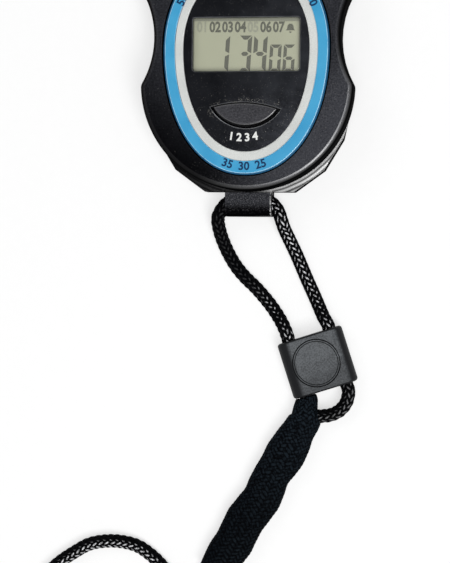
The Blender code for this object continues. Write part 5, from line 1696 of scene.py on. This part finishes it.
def lettering(name, text, size, finish, slot, place, turn=0.0, squeeze=1.0, weight=0.1 * MM):
    """Flat lettering as a mesh, with its middle on a place."""
    curve = bpy.data.curves.new(name, "FONT")
    curve.body, curve.size = text, size
    curve.extrude, curve.offset = FILM / 2, weight
    curve.align_x, curve.align_y = "CENTER", "CENTER"
    curve.resolution_u = LETTER_STEPS
    source = link(name, curve)
    data = evaluated(source)
    bpy.data.objects.remove(source)
    with opened(data) as mesh:
        bmesh.ops.remove_doubles(mesh, verts=mesh.verts, dist=MERGE / 10)
        bmesh.ops.recalc_face_normals(mesh, faces=mesh.faces)
    data.transform(Matrix.Diagonal((squeeze, 1, 1, 1)))
    data.transform(turned_at(place, turn))
    belongs(link(name, data, finish), "case", slot)


for day in range(7):
    finish = display_faint if day in FAINT_DAYS else display_dark
    place = (*on_display(FIRST_DAY[0] + DAY_PITCH * day, FIRST_DAY[1]), FILM_PLACE + DAY_RISE)
    lettering(f"day_{day + 1}", f"0{day + 1}", DAY_SIZE, finish, "display_glass", place, TILT, DAY_NARROW,
              DAY_WEIGHT)

BELL = ((-1.3, -0.7), (-0.95, -0.3), (-0.8, 0.6), (-0.4, 1.1), (0.4, 1.1), (0.8, 0.6), (0.95, -0.3),
        (1.3, -0.7))
CLAPPER = ((-0.35, -1.0), (0.35, -1.0), (0.2, -1.4), (-0.2, -1.4))
parts = [[on_display(BELL_PLACE[0] + BELL_SIZE * x, BELL_PLACE[1] + BELL_SIZE * y) for x, y in part]
         for part in (BELL, CLAPPER)]
film("display_bell", parts, MARK_RISE, display_dark)
print("display marks: 7 days and a bell")

# %% [markdown]
# The window is a clear plastic plate. A glass shader would darken the display and fill it with noise. A
# transparent shader with a little gloss, stronger at a flat angle, lets the display through unchanged.
# The cut sides of such a plate are frosted, and show as a pale line round the display.

# %% Clear window


def clear_finish():
    """Clear plastic that only adds a soft reflection, and is frosted on its cut sides."""
    finish = Finish("clear_window", (0.9, 0.92, 0.88), 0.08)
    clear = make(finish.tree, "ShaderNodeBsdfTransparent", {"Color": (1.0, 1.0, 1.0, 1.0)})
    shine = make(finish.tree, "ShaderNodeBsdfGlossy", {"Roughness": 0.12})
    behind = make(finish.tree, "ShaderNodeNewGeometry", output="Backfacing")
    both = finish.blended(make(finish.tree, "ShaderNodeFresnel", {"IOR": 1.45}) * (1 - behind), clear, shine)
    frost = make(finish.tree, "ShaderNodeBsdfDiffuse", {"Color": (*srgb(134, 136, 124), 1.0)})
    side = finish.facing(0, 0, 1).near(0.0, 0.1, 0.5)
    return finish.surfaced(finish.blended(side, both, frost))


clear_window = clear_finish()
window = dressed_copy("display_window", clear_window, "clear_window", edge=0.2 * MM, sharp=10.0)
print("window:", len(window.data.polygons), "faces")

# %% [markdown]
# The print on the face is white on the panel and dark blue on the ring: numbers of seconds round the
# ring, and four figures under the button. An image could be laid over the face, but it would blur close
# up. Each number is a thin mesh. Those of the ring stand on the egg's outline, and the row of figures
# is bent a little.

# %% Numbers of the face
RING_NUMBERS = (("55", 137), ("50", 148.5), ("5", 42), ("10", 30), ("35", 257.5), ("30", 269.5),
                ("25", 281.5))  # each with its place round the egg, in degrees
MODE_NUMBERS = (("1", -3.65), ("2", -1.25), ("3", 1.2), ("4", 3.6))  # mm from the middle of the row
MODE_ROW = (-0.55, -8.85)  # the row's middle from the button's, in mm
ROW_BEND, ROW_TURN = 0.03, 2.3  # how much the row is bent, and the degrees that a number turns for each mm
INK = 0.01 * MM
RING_SIZE, MODE_SIZE = 3.4 * MM, 3.3 * MM
RING_INSET = 2.55 * MM  # from the outside of the blue ring to the middle of its numbers
BESIDE = 4  # points of the egg to either side, which give its direction


def around_egg(size, inset, angle):
    """A place on the egg, and the turn that stands lettering on it."""
    full = egg(size, inset)
    index = round(len(full) * angle / 360) % len(full)
    way = Vector(full[(index + BESIDE) % len(full)]) - Vector(full[index - BESIDE])
    return full[index], atan2(way.y, way.x)


for text, angle in RING_NUMBERS:
    place, turn = around_egg(BLUE_EGG, RING_INSET, angle)
    lettering(f"ring_number_{text}", text, RING_SIZE, navy_ink, "blue_lacquer", (*place, PROUD + INK / 2),
              turn + (pi if angle < 180 else 0))
for text, shift in MODE_NUMBERS:
    bent = MODE_ROW[1] + ROW_BEND * shift ** 2
    place = ((shift + MODE_ROW[0]) * MM, MODE_Y + bent * MM, PANEL_TOP + INK)
    lettering(f"mode_number_{text}", text, MODE_SIZE, white_ink, "white_lacquer", place,
              radians(ROW_TURN * shift))
print("numbers:", len(RING_NUMBERS), "on the ring and", len(MODE_NUMBERS), "under the button")

# %% [markdown]
# The cord stop is a block of soft grey rubber with rounded sides, and a double ring is sunk into its
# top. The block is swept from rounded outlines. Two drums cut its bores, and two thin wheels with a
# pointed rim cut the lines of the ring. Relief in the material would be quicker, but cut lines catch the
# light at their edges.

# %% Cord stop
SLIDER_ROUND, SLIDER_EDGE = 3.7 * MM, 0.9 * MM
BORE_CLEARANCE = 0.55 * MM
LINE_DEPTHS = ((0.18 * MM, 0.22 * MM), (0.12 * MM, 0.12 * MM))  # half width and depth of each line
LINE_SIDES, BORE_SIDES = 96, 40


def in_frame(points):
    """Points of the cord stop, from its own middle and direction to their place in the scene."""
    return [slider_frame @ Vector(point) for point in points]


def slider_ring(y, inset):
    """The outline across the bores, at a place along them."""
    outline = rounded((0, 0), SLIDER_WIDTH - 2 * inset, SLIDER_THICK - 2 * inset, SLIDER_ROUND - inset, 12)
    return in_frame((x, y, z) for x, z in outline)


def line_cutter(radius, half_width, depth):
    """A thin wheel with a pointed rim, which leaves a round line in the top."""
    top = SLIDER_THICK / 2
    profile = ((radius - half_width, top + GAP), (radius - half_width, top), (radius, top - depth),
               (radius + half_width, top), (radius + half_width, top + GAP))
    rings = [in_frame(level(circle((0, 0), reach, LINE_SIDES), z)) for reach, z in profile]
    return joined("line_cutter", rings, closed=True)


def bore_cutter(side):
    """A drum along one bore, longer than the block."""
    bore = circle((side * BORE_SPACING / 2, 0), CORD / 2 + BORE_CLEARANCE, BORE_SIDES)
    return joined("bore", [in_frame((x, y, z) for x, z in bore) for y in (-SLIDER_LENGTH, SLIDER_LENGTH)])


turns = [radians(angle) for angle in range(90, -1, -15)]
rounding = [(SLIDER_EDGE * (1 - sin(turn)), SLIDER_EDGE * (1 - cos(turn))) for turn in turns]
low_end = [(drop - SLIDER_LENGTH / 2, inset) for drop, inset in rounding]
high_end = [(-y, inset) for y, inset in reversed(low_end)]
rings = [slider_ring(y, inset) for y, inset in low_end + high_end]
slider = joined("slider_block", rings, slider_rubber, sharp=60)
carved(slider, bore_cutter(-1), bore_cutter(1),
       *[line_cutter(radius * MM, *size) for radius, size in zip(SLIDER_RINGS, LINE_DEPTHS)])
smooth(slider.data, 40)
belongs(slider, "slider", "slider_rubber", "lanyard_slider")
print("cord stop:", len(slider.data.polygons), "faces")

# %% [markdown]
# Screws, springs, the button cell and the contacts are plated or bare metal. A Metallic of 1 makes the
# colour that of the reflection. Fingers and age leave cloudy stains on it, so both the colour and the
# roughness vary.

# %% Metal finishes


def metal(name, colour, roughness):
    """Plated metal with cloudy stains and fine marks."""
    finish = Finish(name, colour, roughness, Metallic=1.0)
    stain = finish.noise(2.5 * MM, detail=3.0).within(0.35, 0.8)
    mark = finish.noise(0.15 * MM, detail=1.0, seed=4.0)
    paint = finish.mix(stain * 0.3, colour, tuple(0.45 * c for c in colour))
    return finish.done(paint, roughness + 0.25 * stain * mark, mark, 0.01 * MM, 0.4)


steel = metal("plated_steel", (0.52, 0.52, 0.5), 0.3)
nickel = metal("cell_nickel", (0.6, 0.59, 0.56), 0.22)
brass = metal("sheet_brass", (0.65, 0.46, 0.18), 0.3)
print("metals:", steel.name, nickel.name, brass.name)

# %% [markdown]
# The screws are all alike: a low head with a cross recess, and a plain shank. Eight copies could be made
# one by one. One tree of Geometry Nodes builds a screw from two cylinders, cuts the cross with two
# bars, and sets a copy on every point of a small mesh, so each kind of screw is one piece.

# %% Screws
HEAD_SIDES, SHANK_SIDES = 32, 24
CROSS_LONG, CROSS_WIDE, CROSS_DEEP = 1.25, 0.26, 1.1  # shares of the head's radius and height
screw_tree, port, add = geometry_tree("screws", Radius="Float", Height="Float", Shank="Float", Length="Float",
                                      Material="Material")
radius, height, length = port["Radius"], port["Height"], port["Length"]


def raised(mesh, z):
    """Moves a shape of the tree upwards."""
    shift = make(screw_tree, "ShaderNodeCombineXYZ", {"Z": z})
    return add("Transform", {"Geometry": mesh, "Translation": shift})


def merged(operation, first, *others):
    """A Boolean of a tree. Its last socket takes any number of links."""
    inputs = {"Mesh 1": first} if first else {}
    result = add("MeshBoolean", inputs, operation=operation, solver="EXACT")
    for other in others:
        screw_tree.links.new(other.socket, result.socket.node.inputs["Mesh 2"])
    return result


head = add("MeshCylinder", {"Vertices": HEAD_SIDES, "Radius": radius, "Depth": height})
head = raised(head, height * 0.5)
inside_head = height * 0.5
shank = add("MeshCylinder", {"Vertices": SHANK_SIDES, "Radius": port["Shank"], "Depth": length - inside_head})
shank = raised(shank, (length + inside_head) * 0.5)
bars = []
for long_axis, short_axis in (("X", "Y"), ("Y", "X")):
    size = {long_axis: radius * CROSS_LONG, short_axis: radius * CROSS_WIDE, "Z": height * CROSS_DEEP}
    bars.append(add("MeshCube", {"Size": make(screw_tree, "ShaderNodeCombineXYZ", size)}))
screw = merged("DIFFERENCE", merged("UNION", None, head, shank), *bars)
row = add("InstanceOnPoints", {"Points": port["Geometry"], "Instance": screw})
finish_tree(screw_tree, add, row, port["Material"])


def screws(name, nodes, radius, height, shank):
    """The screws that stand for some CAD nodes, each where its node is."""
    places = [centre_of(node) for node in nodes]
    data = bpy.data.meshes.new(name + "_places")
    data.from_pydata([(*middle, low) for middle, low, _ in places], [], [])
    item = grown(name, link(name + "_places", data), screw_tree, Radius=radius, Height=height, Shank=shank,
                 Length=places[-1][2] - places[-1][1], Material=steel)
    smooth(item.data, 30)
    belongs(item, "case", "plated_steel", *nodes)
    print(name, len(places), "screws,", len(item.data.polygons), "faces")


screws("case_screws", CASE_SCREWS, 1.8 * MM, 1.2 * MM, CASE_SHANK)
screws("board_screws", BOARD_SCREWS, 1.6 * MM, 0.9 * MM, BOARD_SHANK)
screws("door_screw_head", ["door_screw"], 1.5 * MM, 0.7 * MM, BOARD_SHANK)

# %% [markdown]
# All else inside keeps its CAD shape and only gets a finish: a green board with tracks, black epoxy,
# rubber strips, brass contacts, the nickel button cell and so on. These pieces are seen when the watch
# is taken apart.

# %% Finishes inside


def board_finish():
    """Solder mask over copper tracks, which show as paler lines with round pads."""
    finish = Finish("board_mask", srgb(22, 82, 48), 0.4)
    wave = finish.axis("X") * 0.55 + 0.8 * (finish.axis("Y") * 0.35).sine()
    track = wave.fract().near(0.5, 0.1, 0.16)
    base = finish.mix(track * 0.6, srgb(18, 74, 42), srgb(46, 118, 66))
    pads = finish.specks(2.6 * MM, 0.45 * MM)
    return finish.done(finish.mix(pads, base, srgb(196, 190, 168)), 0.42 - 0.12 * track, track, 0.03 * MM)


def plain_finish(name, colour, shade, roughness, grain=0.2 * MM):
    """A plain surface that still has cloudy tone and fine grain."""
    finish = Finish(name, srgb(*colour), roughness)
    cloud = finish.noise(2.2 * MM, detail=3.0).within(0.25, 0.8)
    fine = finish.noise(grain, detail=1.0, seed=1.5)
    paint = finish.mix(0.6 * cloud + 0.4 * fine, srgb(*colour), srgb(*shade))
    return finish.done(paint, roughness + 0.12 * (fine - 0.5), fine, 0.015 * MM)


INSIDE = (
    (board_finish(), "circuit_board"),
    (plain_finish("black_epoxy", (18, 18, 20), (30, 30, 32), 0.3, 0.5 * MM), "controller_blob", "left_switch",
     "right_switch"),
    (plain_finish("strip_rubber", (40, 40, 42), (54, 54, 56), 0.75), "zebra_strip_top", "zebra_strip_bottom"),
    (plain_finish("dome_silicone", (172, 174, 170), (150, 152, 150), 0.55), "mode_dome"),
    (plain_finish("holder_ivory", (206, 204, 194), (188, 186, 176), 0.5), "lcd_holder"),
    (plain_finish("reflector_foil", (190, 190, 178), (170, 170, 160), 0.35), "lcd_reflector"),
    (plain_finish("ceramic", (172, 140, 100), (150, 118, 80), 0.5), "capacitor_1", "capacitor_2"),
    (steel, "quartz_crystal", "buzzer_spring"),
    (brass, "buzzer_disc", "battery_contact_plus", "battery_contact_minus"),
    (nickel, "battery_cell"),
)
for finish, *nodes in INSIDE:
    for node in nodes:
        dress(frame["nodes"][node].data, finish)
    print(finish.name, "on", ", ".join(nodes))

# %% [markdown]
# The watch lies on a white table. A plain white floor takes on shade from every side and looks grey in a
# picture. So a part of what the camera sees of it, straight or in a reflection, is plain white, and the
# rest is lit as usual, which keeps a soft shadow. The object itself is lit by the real floor only.

# %% Floor
FLOOR_SIZE = 6.0
FLOOR_GLOW = 0.62  # share of plain white in what the camera sees, which softens the shadow


def looked_at(tree):
    """1 for what is seen, straight, in a reflection or through glass, and 0 for the light that it gives."""
    ray = tree.nodes.new("ShaderNodeLightPath")
    camera_ray, glossy_ray, clear_ray = [Value(tree, ray.outputs[f"Is {kind} Ray"])
                                         for kind in ("Camera", "Glossy", "Transmission")]
    return (camera_ray + glossy_ray + clear_ray).at_most(1.0)


def floor_finish():
    """White table, part of it seen as plain white."""
    finish = Finish("table", (0.86, 0.86, 0.86), 0.7)
    paper = finish.noise(3 * MM)
    finish.done(finish.mix(paper, (0.9, 0.9, 0.9), (0.86, 0.86, 0.86)), 0.65 + 0.1 * paper)
    glow = make(finish.tree, "ShaderNodeEmission", {"Color": (1.0, 1.0, 1.0, 1.0), "Strength": 1.0})
    lit = Value(finish.tree, finish.shader.outputs["BSDF"])
    return finish.surfaced(finish.blended(looked_at(finish.tree) * FLOOR_GLOW, lit, glow))


half = FLOOR_SIZE / 2
floor_data = bpy.data.meshes.new("table")
corners = [(-half, -half, 0), (half, -half, 0), (half, half, 0), (-half, half, 0)]
floor_data.from_pydata(corners, [], [(0, 1, 2, 3)])
floor = link("table", floor_data, floor_finish())
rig.stage(floor)
print("floor:", FLOOR_SIZE, "m")

# %% [markdown]
# The light is soft, as in a bright room. A broad lamp hangs almost overhead, and a smaller one at the lower
# right gives the rim its thin highlight. A wide fill lights the far side. It is hidden from reflections,
# because the glossy rim would show it as a second highlight. A weak white sky does the rest, and shows as
# plain white where it is looked at.

# %% Light
SKY = 0.22
LOOK_AT = Vector((0, -0.08, 0))
world = bpy.data.worlds.new("sky")
scene.world = world
world.use_nodes = True
background = world.node_tree.nodes["Background"].inputs
background["Color"].default_value = (1.0, 1.0, 1.0, 1.0)
strength = SKY + (1 - SKY) * looked_at(world.node_tree)
world.node_tree.links.new(strength.socket, background["Strength"])
LAMPS = {  # place in metres, size in metres, watts
    "main": (Vector((0.20, -0.20, 1.20)), 0.68, 7.2),
    "side": (Vector((0.45, -0.52, 1.00)), 0.42, 6.0),
    "fill": (Vector((-0.60, 0.50, 1.00)), 0.9, 3.0),
}
for name, (where, size, power) in LAMPS.items():
    lamp_data = bpy.data.lights.new(name, "AREA")
    lamp_data.shape, lamp_data.size, lamp_data.energy = "DISK", size, power
    lamp = link(name, lamp_data)
    lamp.visible_glossy = name != "fill"
    lamp.matrix_world = aimed(where, LOOK_AT)
    print(name, "lamp", round(where.length, 2), "m away")

# %% [markdown]
# The finished pieces are measured once more. Their box and that of the CAD part are written down side by
# side, because the looks may not change the object's size. The last call checks that every piece has
# found its body.

# %% Sizes and the end
with open("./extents.json", "w") as out:
    json.dump({"cad": cad_box, "visual": [list(corner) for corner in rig.bounds()]}, out)
